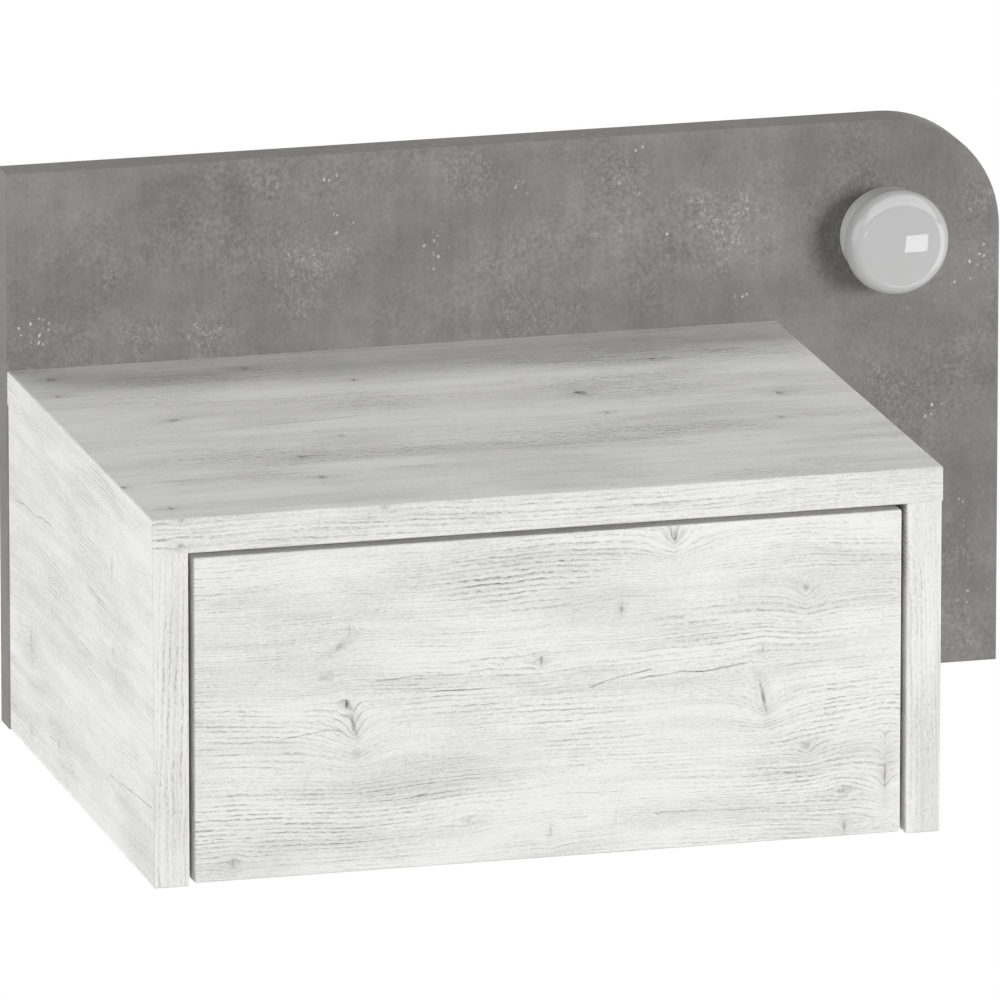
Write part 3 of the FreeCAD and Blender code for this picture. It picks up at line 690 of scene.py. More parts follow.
@dataclass(frozen=True)
class MouldedPart:
    """Matt plastic, rubber or solder mask: two near tones in a fine spark texture."""

    name: str
    light: tuple
    shade: tuple
    roughness: float
    relief: float = 0.03 * MM

    def material(self) -> bpy.types.Material:
        """Make the material.

        Returns:
            The material.
        """
        graph = Graph(self.name)
        spot = graph.place()
        spark = spot.noise((2200.0, 2200.0, 2200.0))
        flow = spot.noise((150.0, 150.0, 150.0))
        graph.bump(spark, self.relief, 0.5)
        shine = flow.step(0.3, 0.7, self.roughness - 0.06, self.roughness + 0.06)
        stops = ((0.3, self.shade), (0.7, self.light))
        return graph.finish(Base_Color=graph.ramp(spark * 0.5 + flow * 0.5, stops), Roughness=shine)


class Finishes:
    """One material for each slot of the record."""

    def __init__(self) -> None:
        """Build every finish once."""
        makers = {
            Slot.OAK: WhitewashedOak(),
            Slot.CONCRETE: ConcreteDecor(),
            Slot.BOARD: PaperLaminate("plain_laminate", (0.80, 0.795, 0.775), (0.74, 0.735, 0.715)),
            Slot.SHEET: PaperLaminate("lacquered_sheet", (0.82, 0.815, 0.80), (0.77, 0.765, 0.75), 0.38),
            Slot.DOWEL: Beech(),
            Slot.SLIDE: PlatedSteel("zinc_slide", (0.66, 0.67, 0.68), (0.54, 0.55, 0.56), 0.30),
            Slot.CAGE: PlatedSteel("stamped_cage", (0.55, 0.55, 0.55), (0.42, 0.42, 0.42), 0.36),
            Slot.BALL: PlatedSteel("polished_ball", (0.80, 0.80, 0.81), (0.72, 0.72, 0.73), 0.12),
            Slot.SCREW: PlatedSteel("zinc_screw", (0.63, 0.62, 0.58), (0.49, 0.48, 0.45), 0.30),
            Slot.CAM: PlatedSteel("cast_zinc", (0.50, 0.50, 0.51), (0.36, 0.36, 0.37), 0.42, (700.0,) * 3),
            Slot.HANGER: PlatedSteel("hanger_plate", (0.64, 0.64, 0.65), (0.53, 0.53, 0.54), 0.32),
            Slot.OPAL: GlossPlastic("opal_shell", (0.53, 0.53, 0.53), (0.515, 0.515, 0.515), 0.02),
            Slot.LAMP_BODY: GlossPlastic("lamp_base_shell", (0.80, 0.80, 0.80), (0.77, 0.77, 0.77), 0.14),
            Slot.LED_BOARD: MouldedPart("solder_mask", (0.87, 0.87, 0.86), (0.80, 0.80, 0.79), 0.35),
            Slot.LED_CHIP: MouldedPart("phosphor", (0.92, 0.82, 0.45), (0.86, 0.74, 0.36), 0.30),
            Slot.SWITCH: MouldedPart("switch_black", (0.055, 0.055, 0.055), (0.035, 0.035, 0.035), 0.45),
            Slot.TERMINAL: MouldedPart("terminal_white", (0.82, 0.82, 0.80), (0.74, 0.74, 0.72), 0.45),
            Slot.GROMMET: MouldedPart("soft_rubber", (0.045, 0.045, 0.045), (0.028, 0.028, 0.028), 0.70),
        }
        self.made = {slot: maker.material() for slot, maker in makers.items()}
        record_slots = {row["node"]: row["material_slot"] for row in frame["record"]["subparts"]}
        self.slot_of = {node: Slot(name) for node, name in record_slots.items()}

    def dress_node(self, node: str) -> None:
        """Give a CAD node the material of its slot.

        Args:
            node: Name of the node.
        """
        for holder in frame["nodes"][node].material_slots:
            holder.material = self.made[self.slot_of[node]]
        log.info("dressed %s in %s", node, self.slot_of[node].value)

    def dress_piece(self, piece: bpy.types.Object, slot: Slot) -> None:
        """Give a new piece the material of a slot."""
        piece.data.materials.append(self.made[slot])


@dataclass(frozen=True)
class Surface:
    """Mesh as whole arrays: points, their normals, four corners for each face and values at the corners."""

    points: Array
    normals: Array
    quads: Array
    corners: dict[str, Array] = field(default_factory=dict)
    same_place: ClassVar[float] = 0.0005 * MM

    def piece(self, name: str) -> bpy.types.Object:
        """Put the arrays into a new object at the origin, with points that coincide made one.

        Args:
            name: Name of the piece.

        Returns:
            The object.
        """
        grid = np.round(self.points / self.same_place).astype(np.int64)
        _, first, index = np.unique(grid, axis=0, return_index=True, return_inverse=True)
        mesh = bpy.data.meshes.new(name)
        mesh.from_pydata(self.points[first], [], index.ravel()[self.quads].tolist())
        kinds = {3: ("FLOAT_VECTOR", "vector"), 4: ("FLOAT_COLOR", "color")}
        for key, values in self.corners.items():
            kind, member = kinds[values.shape[-1]]
            layer = mesh.attributes.new(key, kind, "CORNER")
            layer.data.foreach_set(member, values.astype(np.float32).ravel())
        mesh.polygons.foreach_set("use_smooth", np.ones(len(mesh.polygons), bool))
        mesh.normals_split_custom_set_from_vertices(self.normals[first])
        piece = bpy.data.objects.new(name, mesh)
        bpy.context.scene.collection.objects.link(piece)
        return piece


def grid_quads(rows: int, columns: int, reverse: bool, start: int) -> Array:
    """Corner numbers of the faces of a grid.

    Args:
        rows: Number of points along the first direction.
        columns: Number of points along the second direction.
        reverse: Turn the faces round.
        start: Number of the grid's first point.

    Returns:
        One row of four point numbers for each face.
    """
    number = start + np.arange(rows * columns).reshape(rows, columns)
    ring = (number[:-1, :-1], number[1:, :-1], number[1:, 1:], number[:-1, 1:])
    quads = np.stack(ring, axis=-1).reshape(-1, 4)
    return quads[:, ::-1] if reverse else quads


def pressed_square(count: int) -> tuple[Array, Array]:
    """Square grid pressed into a disc.

    A point keeps its direction, and its distance becomes its larger coordinate.

    Args:
        count: Number of points along each side of the square.

    Returns:
        Distances from 0 at the middle to 1 at the rim, and directions in radians.
    """
    side = np.linspace(-1.0, 1.0, count)
    first, second = np.meshgrid(side, side, indexing="ij")
    return np.maximum(np.abs(first), np.abs(second)), np.arctan2(second, first)


@dataclass
class NewPiece:
    """Piece made anew for its looks, in place of a CAD node and on that node's body."""

    name: str
    node: str
    body: str
    slot: ClassVar[Slot]

    def surface(self) -> Surface:
        """The piece's mesh, which each kind of piece works out."""
        raise NotImplementedError

    def build(self, finishes: Finishes) -> bpy.types.Object:
        """Make the piece, put it in place of its CAD node and dress it.

        Args:
            finishes: Materials by slot.

        Returns:
            The piece.
        """
        piece = self.surface().piece(self.name)
        finishes.dress_piece(piece, self.slot)
        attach(piece, self.body)
        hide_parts(self.node)
        log.info("built %s with %d faces", self.name, len(piece.data.polygons))
        return piece


@dataclass(frozen=True)
class Knot:
    """Branch in a face: the grain parts and dips at it, and its core is dark.

    Sizes, and places along and across the grain, are in millimetres of the part's frame. The lean is in
    degrees.
    """

    along: float
    across: float
    reach: tuple[float, float] = (7.0, 5.0)
    core: tuple[float, float] = (2.0, 1.6)
    lean: float = 0.0
    ink: float = 1.0
    dip: float = 0.0
    push: ClassVar[float] = 0.6
    softness: ClassVar[float] = 0.7
    dip_spread: ClassVar[float] = 1.3

    def seen(self, along: Array, across: Array) -> Array:
        """Place of each point seen from the knot and turned by its lean, in core sizes, and the knot's ink.

        Args:
            along: Places along the grain.
            across: Places across the grain.

        Returns:
            Three numbers for each point.
        """
        turn = math.radians(self.lean)
        run, rise = along - self.along, across - self.across
        turned_run = run * math.cos(turn) + rise * math.sin(turn)
        turned_rise = rise * math.cos(turn) - run * math.sin(turn)
        ink = np.full_like(along, self.ink)
        return np.stack([turned_run / self.core[0], turned_rise / self.core[1], ink], axis=-1)

    def shift(self, along: Array, across: Array) -> Array:
        """How far the grain is moved across itself.

        It is drawn down by a cusp along the grain that fades as a bell across it, and pushed aside by the
        flow past a round post that is softened at its middle.

        Args:
            along: Places along the grain.
            across: Places across the grain.

        Returns:
            Shift in metres.
        """
        run, rise = (along - self.along) / self.reach[0], (across - self.across) / self.reach[1]
        drawn = self.dip * np.exp(-np.abs(run) - (rise / self.dip_spread) ** 2)
        pushed = self.push * self.reach[1] * rise / (run**2 + rise**2 + self.softness)
        return (drawn - pushed) * MM


@dataclass(frozen=True)
class Crack:
    """Hairline through points given as (along, across) in millimetres, in one of two lanes."""

    points: tuple[tuple[float, float], ...]
    lane: int = 0
    ink: float = 1.0
    fade: float = 6.0

    def add_to(self, lanes: Array, along: Array, across: Array) -> None:
        """Put the crack into its lane where it outweighs what is there.

        The offset is the distance across the grain from the broken line through the points, and the weight
        fades out at the line's ends.

        Args:
            lanes: Two pairs of offset in metres and weight for each point.
            along: Places along the grain in millimetres.
            across: Places across the grain in millimetres.
        """
        runs, levels = np.array(sorted(self.points)).T
        ends = np.minimum(along - runs[0], runs[-1] - along) / self.fade
        weight = self.ink * np.clip(ends, 0.0, 1.0)
        offset = (across - np.interp(along, runs, levels)) * MM
        pair = lanes[..., 2 * self.lane : 2 * self.lane + 2]
        better = weight > pair[..., 1]
        pair[better] = np.stack([offset, weight], axis=-1)[better]


@dataclass(frozen=True)
class Patch:
    """Oval in which the growth lines are strong, in millimetres of the part's frame."""

    along: float
    across: float
    reach: tuple[float, float]
    slope: float = 0.0

    def strength(self, along: Array, across: Array) -> Array:
        """Strength of the lines: a bell about the patch's middle line.

        Args:
            along: Places along the grain in millimetres.
            across: Places across the grain in millimetres.

        Returns:
            Strength from 0 to 1.
        """
        run = along - self.along
        rise = across - self.across - self.slope * run
        return np.exp(-((run / self.reach[0]) ** 2) - (rise / self.reach[1]) ** 2)


@dataclass(frozen=True)
class Figure:
    """Knots, cracks and strong patches of one face, and the share of its growth lines."""

    knots: tuple[Knot, ...] = ()
    cracks: tuple[Crack, ...] = ()
    patches: tuple[Patch, ...] = ()
    share: float = 1.0


@dataclass
class OakBoard(NewPiece):
    """Board with rounded edges whose decor follows each face, its knots and its cracks."""

    grain_axis: int
    seed: float
    figures: dict[Face, Figure] = field(default_factory=dict)
    tucked: tuple[Face, ...] = ()
    edge: float = 1.0 * MM
    spacing: float = 1.3 * MM
    plain_spacing: float = 6.0 * MM
    slot: ClassVar[Slot] = Slot.OAK
    edge_points: ClassVar[tuple[float, ...]] = (0.0, 0.3, 0.65)
    seed_step: ClassVar[float] = 7.3
    no_knot: ClassVar[tuple[float, ...]] = (50.0, 50.0, 0.0)

    def limits(self) -> tuple[Array, Array]:
        """Corners of the CAD board, with each tucked side sunk into its neighbour by the edge radius.

        Returns:
            Lowest and highest corner.
        """
        low, high = (np.array(corner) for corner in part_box(self.node))
        for side in self.tucked:
            axis, sign = side.value
            target = high if sign > 0 else low
            target[axis] += sign * self.edge
        return low, high

    def surface(self) -> Surface:
        """Six grids that meet at their borders.

        Each point of the box's face goes to the nearest point of a box that is smaller by the edge radius,
        plus that radius along the line between the two. That gives flat faces, round edges and round corners.

        Returns:
            The whole surface with its decor values.
        """
        low, high = self.limits()
        points, normals, quads, start = [], [], [], 0
        corners = {"grain": [], "knot": [], "mark": [], "crack": []}
        for side in Face:
            flat = self.face_grid(side, low, high)
            inner = np.clip(flat, low + self.edge, high - self.edge)
            out = flat - inner
            out /= np.linalg.norm(out, axis=-1, keepdims=True)
            faces = grid_quads(*flat.shape[:2], side.value[1] < 0, 0)
            for key, values in self.decor(side, flat.reshape(-1, 3)[faces], low, high).items():
                corners[key].append(values)
            points.append((inner + self.edge * out).reshape(-1, 3))
            normals.append(out.reshape(-1, 3))
            quads.append(faces + start)
            start += len(points[-1])
        joined = {key: np.concatenate(parts) for key, parts in corners.items()}
        return Surface(np.concatenate(points), np.concatenate(normals), np.concatenate(quads), joined)

    def face_grid(self, side: Face, low: Array, high: Array) -> Array:
        """Points of one flat side of the sharp box, closer together within the rounded edges.

        Args:
            side: Side of the board.
            low: Lowest corner.
            high: Highest corner.

        Returns:
            Grid of points.
        """
        axis, sign = side.value
        first, second = (axis + 1) % 3, (axis + 2) % 3
        step = self.spacing if side in self.figures else self.plain_spacing
        near = self.edge * np.array(self.edge_points)
        lines = []
        for way in (first, second):
            count = max(2, round((high[way] - low[way] - 2 * self.edge) / step) + 1)
            middle = np.linspace(low[way] + self.edge, high[way] - self.edge, count)
            lines.append(np.concatenate([low[way] + near, middle, high[way] - near[::-1]]))
        flat = np.empty((len(lines[0]), len(lines[1]), 3))
        flat[..., first], flat[..., second] = np.meshgrid(*lines, indexing="ij")
        flat[..., axis] = high[axis] if sign > 0 else low[axis]
        return flat

    def decor(self, side: Face, spots: Array, low: Array, high: Array) -> dict[str, Array]:
        """Decor values at the corners of one side's faces: grain coordinates, knots, marks and cracks.

        The place across the grain is the plain one with each knot's shift. A face takes the knot that is
        nearest to it.

        Args:
            side: Side of the board.
            spots: Four corners of each face on that side.
            low: Lowest corner of the board.
            high: Highest corner of the board.

        Returns:
            Values by attribute name.
        """
        others = [axis for axis in range(3) if axis != side.value[0]]
        longest = max(others, key=lambda axis: high[axis] - low[axis])
        run_axis = self.grain_axis if self.grain_axis in others else longest
        rise_axis = sum(others) - run_axis
        along, across = spots[..., run_axis] / MM, spots[..., rise_axis] / MM
        figure = self.figures.get(side, Figure())
        fibre = spots[..., rise_axis].copy()
        nearest = np.full(len(spots), np.inf)
        seen = np.full((*along.shape, 3), self.no_knot)
        for knot in figure.knots:
            fibre += knot.shift(along, across)
            here = knot.seen(along, across)
            far = np.hypot(here[..., 0], here[..., 1]).mean(axis=1)
            seen[far < nearest] = here[far < nearest]
            nearest = np.minimum(far, nearest)
        lanes = np.zeros((*along.shape, 4))
        for crack in figure.cracks:
            crack.add_to(lanes, along, across)
        inset = [np.minimum(spots[..., way] - low[way], high[way] - spots[..., way]) for way in others]
        strength = sum((patch.strength(along, across) for patch in figure.patches), np.zeros_like(along))
        number = np.full_like(along, self.seed + self.seed_step * list(Face).index(side))
        share = np.full_like(along, figure.share)
        return {
            "grain": np.stack([spots[..., run_axis], fibre, number], axis=-1),
            "knot": seen,
            "mark": np.stack([np.minimum(*inset), strength, share], axis=-1),
            "crack": lanes,
        }


@dataclass
class CamFaces(NewPiece):
    """Visible faces of the cam discs in the side boards: round, a little proud and with a cross slot."""

    name: str = "top_cam_faces"
    node: str = "top_cam_discs"
    body: str = "carcass"
    proud: float = 0.2 * MM
    chamfer: float = 0.6 * MM
    slot_reach: float = 3.8 * MM
    slot_half: float = 0.75 * MM
    slot_depth: float = 1.2 * MM
    slot_wall: float = 0.25 * MM
    count: int = 72
    slot: ClassVar[Slot] = Slot.CAM

    def surface(self) -> Surface:
        """The same disc four times: turned inwards from each side board, at the front and at the back.

        Returns:
            The four faces as one surface.
        """
        low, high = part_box(self.node)
        radius = (high.z - low.z) / 2
        middle_z = (low.z + high.z) / 2
        spots, ups = self.disc(radius)
        points, normals, quads = [], [], []
        left_face, right_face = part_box("left_side_board")[1].x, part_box("right_side_board")[0].x
        for face_x, way in ((left_face, 1.0), (right_face, -1.0)):
            for y in (low.y + radius, high.y - radius):
                quads.append(grid_quads(self.count, self.count, way < 0, len(points) * self.count**2))
                points.append(spots[:, (2, 0, 1)] * (way, 1.0, 1.0) + (face_x, y, middle_z))
                normals.append(ups[:, (2, 0, 1)] * (way, 1.0, 1.0))
        return Surface(np.concatenate(points), np.concatenate(normals), np.concatenate(quads))

    def disc(self, radius: float) -> tuple[Array, Array]:
        """Height field over a pressed square.

        The height is the proud face, less a slope at the rim and less the slot's depth inside a cross.

        Args:
            radius: Radius of the disc.

        Returns:
            Points and normals, with the height along the third axis.
        """
        reach, turn = pressed_square(self.count)
        x, y = radius * reach * np.cos(turn), radius * reach * np.sin(turn)
        rim = np.clip((radius * reach - (radius - self.chamfer)) / self.chamfer, 0.0, 1.0)
        ways = ((x, y), (y, x))
        arms = [np.maximum(np.abs(a) - self.slot_reach, np.abs(b) - self.slot_half) for a, b in ways]
        inside = np.clip(0.5 - np.minimum(*arms) / self.slot_wall, 0.0, 1.0)
        height = self.proud - rim * (self.proud + self.chamfer) - inside * self.slot_depth
        points = np.stack([x, y, height], axis=-1)
        normals = np.cross(np.gradient(points, axis=0), np.gradient(points, axis=1))
        normals /= np.maximum(np.linalg.norm(normals, axis=-1, keepdims=True), TINY)
        return points.reshape(-1, 3), normals.reshape(-1, 3)


@dataclass
class Assembly:
    """Sub-assembly: pieces that are made anew, and CAD nodes that keep their shape and get a finish."""

    dressed: tuple[str, ...] = ()

    def pieces(self) -> list[NewPiece]:
        """Pieces that are made anew."""
        return []

    def build(self, finishes: Finishes) -> None:
        """Make the new pieces and dress the CAD nodes.

        Args:
            finishes: Materials by slot.
        """
        for piece in self.pieces():
            piece.build(finishes)
        for node in self.dressed:
            finishes.dress_node(node)


@dataclass
class Carcass(Assembly):
    """Top, sides and bottom with their joinery."""

    dressed: tuple[str, ...] = (
        "bottom_board",
        "top_dowels",
        "top_cam_bolts",
        "bottom_dowels",
        "bottom_cam_bolts",
        "bottom_cam_discs",
    )
    top_seed: float = 1.7
    left_seed: float = 23.1
    right_seed: float = 41.9

    def pieces(self) -> list[NewPiece]:
        """The three decor boards and the cams' faces.

        Returns:
            The pieces.
        """
        tops = {Face.TOP: self.top_figure(), Face.FRONT: self.front_edge_figure(), Face.LEFT: Figure()}
        lefts = {Face.LEFT: self.left_figure(), Face.FRONT: self.side_edge_figure(-250, 0.75)}
        rights = {Face.RIGHT: self.right_figure(), Face.FRONT: self.side_edge_figure(132, 0.45)}
        top_names = ("top_board_oak", "top_board", "carcass")
        left_names = ("left_side_oak", "left_side_board", "carcass")
        right_names = ("right_side_oak", "right_side_board", "carcass")
        tucked = (Face.BACK, Face.TOP)
        return [
            OakBoard(*top_names, ALONG_X, self.top_seed, tops, (Face.BACK,)),
            OakBoard(*left_names, ALONG_Y, self.left_seed, lefts, tucked),
            OakBoard(*right_names, ALONG_Y, self.right_seed, rights, tucked),
            CamFaces(),
        ]

    def top_figure(self) -> Figure:
        """Knots and cracks on the top face, along X and across Y.

        Returns:
            The figure.
        """
        knots = (
            Knot(-243, -40, (8, 6), (3.0, 3.4), 20, 0.9),
            Knot(-247, -74, (6, 6), (2.4, 2.8), 0, 0.8),
            Knot(-143, -43, (10, 5), (3.2, 3.4), -20, 0.9),
            Knot(-96, -80, (5, 4), (1.4, 2.2), 0, 0.9),
            Knot(-203, -135, (12, 6), (5.0, 2.6), 25, 0.9),
            Knot(-130, -185, (5, 4), (1.2, 2.0), 0, 1.0),
            Knot(-159, -221, (9, 6), (4.0, 2.8), 0, 0.7),
            Knot(-159, -261, (9, 6), (3.6, 2.6), -10, 0.9),
            Knot(-258, -256, (9, 7), (3.0, 3.4), 15, 0.9),
            Knot(-246, -300, (7, 7), (2.4, 3.4), 0, 0.8),
            Knot(7, -134, (12, 9), (3.4, 5.4), 25, 1.0),
            Knot(10, -175, (7, 6), (2.4, 2.8), 0, 0.6),
            Knot(104, -160, (7, 7), (2.4, 3.8), 10, 1.0),
            Knot(91, -206, (4, 4), (1.4, 2.2), 0, 0.9),
            Knot(60, -78, (9, 6), (4.0, 3.0), 0, 0.5),
        )
        cracks = (
            Crack(((-202, -160), (-146, -154), (-103, -148)), 0, 0.9),
            Crack(((-239, -250), (-180, -249), (-125, -246)), 0, 0.6),
            Crack(((-126, -252), (-84, -251)), 1, 0.7),
            Crack(((42, -239), (90, -237), (136, -238.5)), 0, 0.6),
            Crack(((108, -151), (138, -150.5)), 1, 0.6),
            Crack(((0, -71), (39, -74), (66, -75)), 0, 0.8),
            Crack(((69, -67.4), (88, -67), (115, -67)), 0, 0.9),
            Crack(((84, -68.5), (111, -68.5), (138, -64.5)), 1, 0.9),
        )
        patches = (Patch(40, -70, (70, 16)), Patch(-170, -60, (60, 14)), Patch(-60, -215, (90, 15)))
        return Figure(knots, cracks, patches, share=1.25)

    def front_edge_figure(self) -> Figure:
        """Knots on the front edge of the top, along X and across Z.

        Returns:
            The figure.
        """
        knots = (
            Knot(-245, -43, (9, 6), (2.4, 1.6), 0, 0.6),
            Knot(-245, -56, (7, 5), (2.2, 1.8), 0, 0.6),
            Knot(-143, -43, (10, 5), (2.6, 1.8), -15, 0.6),
        )
        cracks = (Crack(((-120, -51), (-60, -50.5), (10, -52)), 0, 0.35),)
        return Figure(knots, cracks, (Patch(-59, -51, (220, 9)),), share=0.85)

    def side_edge_figure(self, across: float, share: float) -> Figure:
        """Strong lines on the front edge of a side, along Z and across X."""
        return Figure(patches=(Patch(-150, across, (80, 12)),), share=share)

    def left_figure(self) -> Figure:
        """Knots and cracks on the left side, along Y and across Z.

        Returns:
            The figure.
        """
        knots = (
            Knot(-236, -87, (9, 12), (1.0, 6.0), 8, 0.5),
            Knot(-238, -130, (6, 6), (1.0, 2.6), 0, 0.5),
            Knot(-65, -172, (14, 12), (1.4, 6.0), 0, 0.35),
            Knot(-122, -209, (10, 7), (2.4, 2.6), 20, 0.5),
            Knot(-64, -218, (8, 7), (1.2, 3.0), 0, 0.4),
        )
        cracks = (
            Crack(((-113, -99), (-92, -100), (-74, -103), (-50, -103), (-28, -106)), 0, 0.75),
            Crack(((-225, -110), (-205, -111), (-186, -110.5)), 0, 0.5),
            Crack(((-320, -188.5), (-270, -192), (-226, -196)), 1, 0.75),
            Crack(((-143, -209.5), (-120, -208), (-100, -210)), 1, 0.6),
        )
        return Figure(knots, cracks, share=0.55)

    def right_figure(self) -> Figure:
        """Knots and cracks on the right side, along Y and across Z.

        Returns:
            The figure.
        """
        knots = (
            Knot(-90, -105, (12, 9), (1.4, 5.0), -10, 0.6),
            Knot(-210, -160, (9, 8), (2.2, 3.0), 15, 0.6),
            Knot(-285, -95, (6, 5), (1.2, 2.0), 0, 0.5),
            Knot(-150, -214, (8, 6), (2.0, 2.2), 0, 0.5),
        )
        cracks = (
            Crack(((-190, -128), (-150, -131), (-110, -129)), 0, 0.6),
            Crack(((-300, -182), (-260, -180), (-235, -183)), 1, 0.5),
        )
        return Figure(knots, cracks)


@dataclass
class BackPanel(Assembly):
    """Panel on the wall with its hanger plates, screws and cable grommet."""

    dressed: tuple[str, ...] = (
        "back_panel",
        "panel_screws",
        "left_hanger_plate",
        "right_hanger_plate",
        "hanger_screws",
        "cable_grommet",
    )


@dataclass
class Drawer(Assembly):
    """Drawer front in decor and the plain box behind it."""

    dressed: tuple[str, ...] = (
        "drawer_left_side",
        "drawer_right_side",
        "drawer_back",
        "drawer_bottom",
        "drawer_dowels",
        "drawer_cam_bolts",
        "drawer_cam_discs",
        "drawer_back_screws",
        "drawer_bottom_screws",
    )
    front_spacing: float = 1.1 * MM
    front_seed: float = 62.4

    def pieces(self) -> list[NewPiece]:
        """The drawer front.

        Returns:
            The piece.
        """
        faces = {Face.FRONT: self.front_figure(), Face.TOP: Figure(), Face.LEFT: Figure()}
        names = ("drawer_front_oak", "drawer_front", "drawer")
        return [OakBoard(*names, ALONG_X, self.front_seed, faces, spacing=self.front_spacing)]

    def front_figure(self) -> Figure:
        """Knots and cracks on the drawer front, along X and across Z.

        Returns:
            The figure.
        """
        knots = (
            Knot(-164.4, -112, (7, 5), (4.0, 1.6), 35, 0.6),
            Knot(-160.4, -104, (4, 5), (1.0, 3.4), 0, 0.5),
            Knot(-162, -142, (5, 5), (1.0, 2.4), 0, 0.9),
            Knot(-158, -154, (10, 11), (1.3, 7.0), 14, 0.9, 9),
            Knot(-172, -127, (9, 5), (7.0, 3.0), 0, 0.3),
            Knot(-157, -167, (6, 5), (4.0, 3.0), 0, 0.35),
            Knot(-63.1, -126.5, (4, 4), (0.9, 2.6), 0, 0.7),
            Knot(-219.6, -219, (5, 5), (1.4, 2.8), 0, 0.6),
            Knot(-58.3, -214, (3, 5), (0.9, 3.6), 0, 0.7),
            Knot(-101, -206, (7, 5), (3.4, 1.6), 10, 0.5),
            Knot(4.6, -68, (11, 9), (1.6, 4.2), 8, 0.7, 9),
            Knot(-22.3, -103.7, (3, 4), (0.9, 2.6), 0, 0.9),
            Knot(50, -129, (4, 4), (1.0, 2.4), 0, 0.5),
            Knot(50.5, -154, (10, 10), (1.2, 9.0), 12, 0.9, 8),
            Knot(113, -198, (4, 9), (0.9, 10.0), 0, 0.7, 3),
            Knot(113, -179, (4, 8), (0.8, 5.0), 0, 0.3, 4),
            Knot(91.5, -204.3, (8, 6), (4.0, 1.5), 8, 0.8),
            Knot(92, -222.6, (6, 6), (1.2, 3.4), 0, 0.8, 3),
            Knot(72, -99, (8, 9), (2.6, 1.4), -25, 0.5, 5),
            Knot(73, -180, (7, 6), (4.0, 3.0), 0, 0.3, 3),
        )
        cracks = (
            Crack(((-151, -132), (-128, -130.5), (-101, -131)), 0, 0.8),
            Crack(((-136, -137.5), (-100, -139), (-62, -138.5)), 1, 0.55),
            Crack(((-200, -158.5), (-186, -156.5), (-170, -154.5), (-163, -156.5), (-160, -161)), 1, 0.6),
            Crack(((-42, -143.4), (-29, -139.5), (-16, -136.7), (-3, -135)), 0, 1.0),
            Crack(((-17.5, -139.9), (-2, -138.6), (10, -137.5), (20, -138.2), (28, -137), (46, -135.2)), 1),
            Crack(((51, -139.8), (68, -137.7), (89, -136.5), (105, -136.4)), 0, 0.8),
            Crack(((-52, -208), (19, -209.5), (61, -211)), 0, 0.5),
            Crack(((96, -216.5), (103, -218), (110, -220)), 1, 0.7),
        )
        patches = (
            Patch(-165, -199, (90, 17), 0.06),
            Patch(45, -118, (62, 16), 0.05),
            Patch(75, -197, (45, 17), 0.08),
            Patch(-85, -87, (38, 14), -0.04),
        )
        return Figure(knots, cracks, patches)


@dataclass
class Slides(Assembly):
    """Telescopic slides: members, cages, balls and screws on both sides."""

    dressed: tuple[str, ...] = ("slide_outer_screws", "slide_inner_screws")
    members: tuple[str, ...] = (
        "slide_outer",
        "slide_middle",
        "slide_inner",
        "slide_outer_cage",
        "slide_inner_cage",
        "slide_outer_balls",
        "slide_inner_balls",
    )

    def __post_init__(self) -> None:
        """Name each member on both sides."""
        self.dressed += tuple(f"{side}_{member}" for side in ("left", "right") for member in self.members)


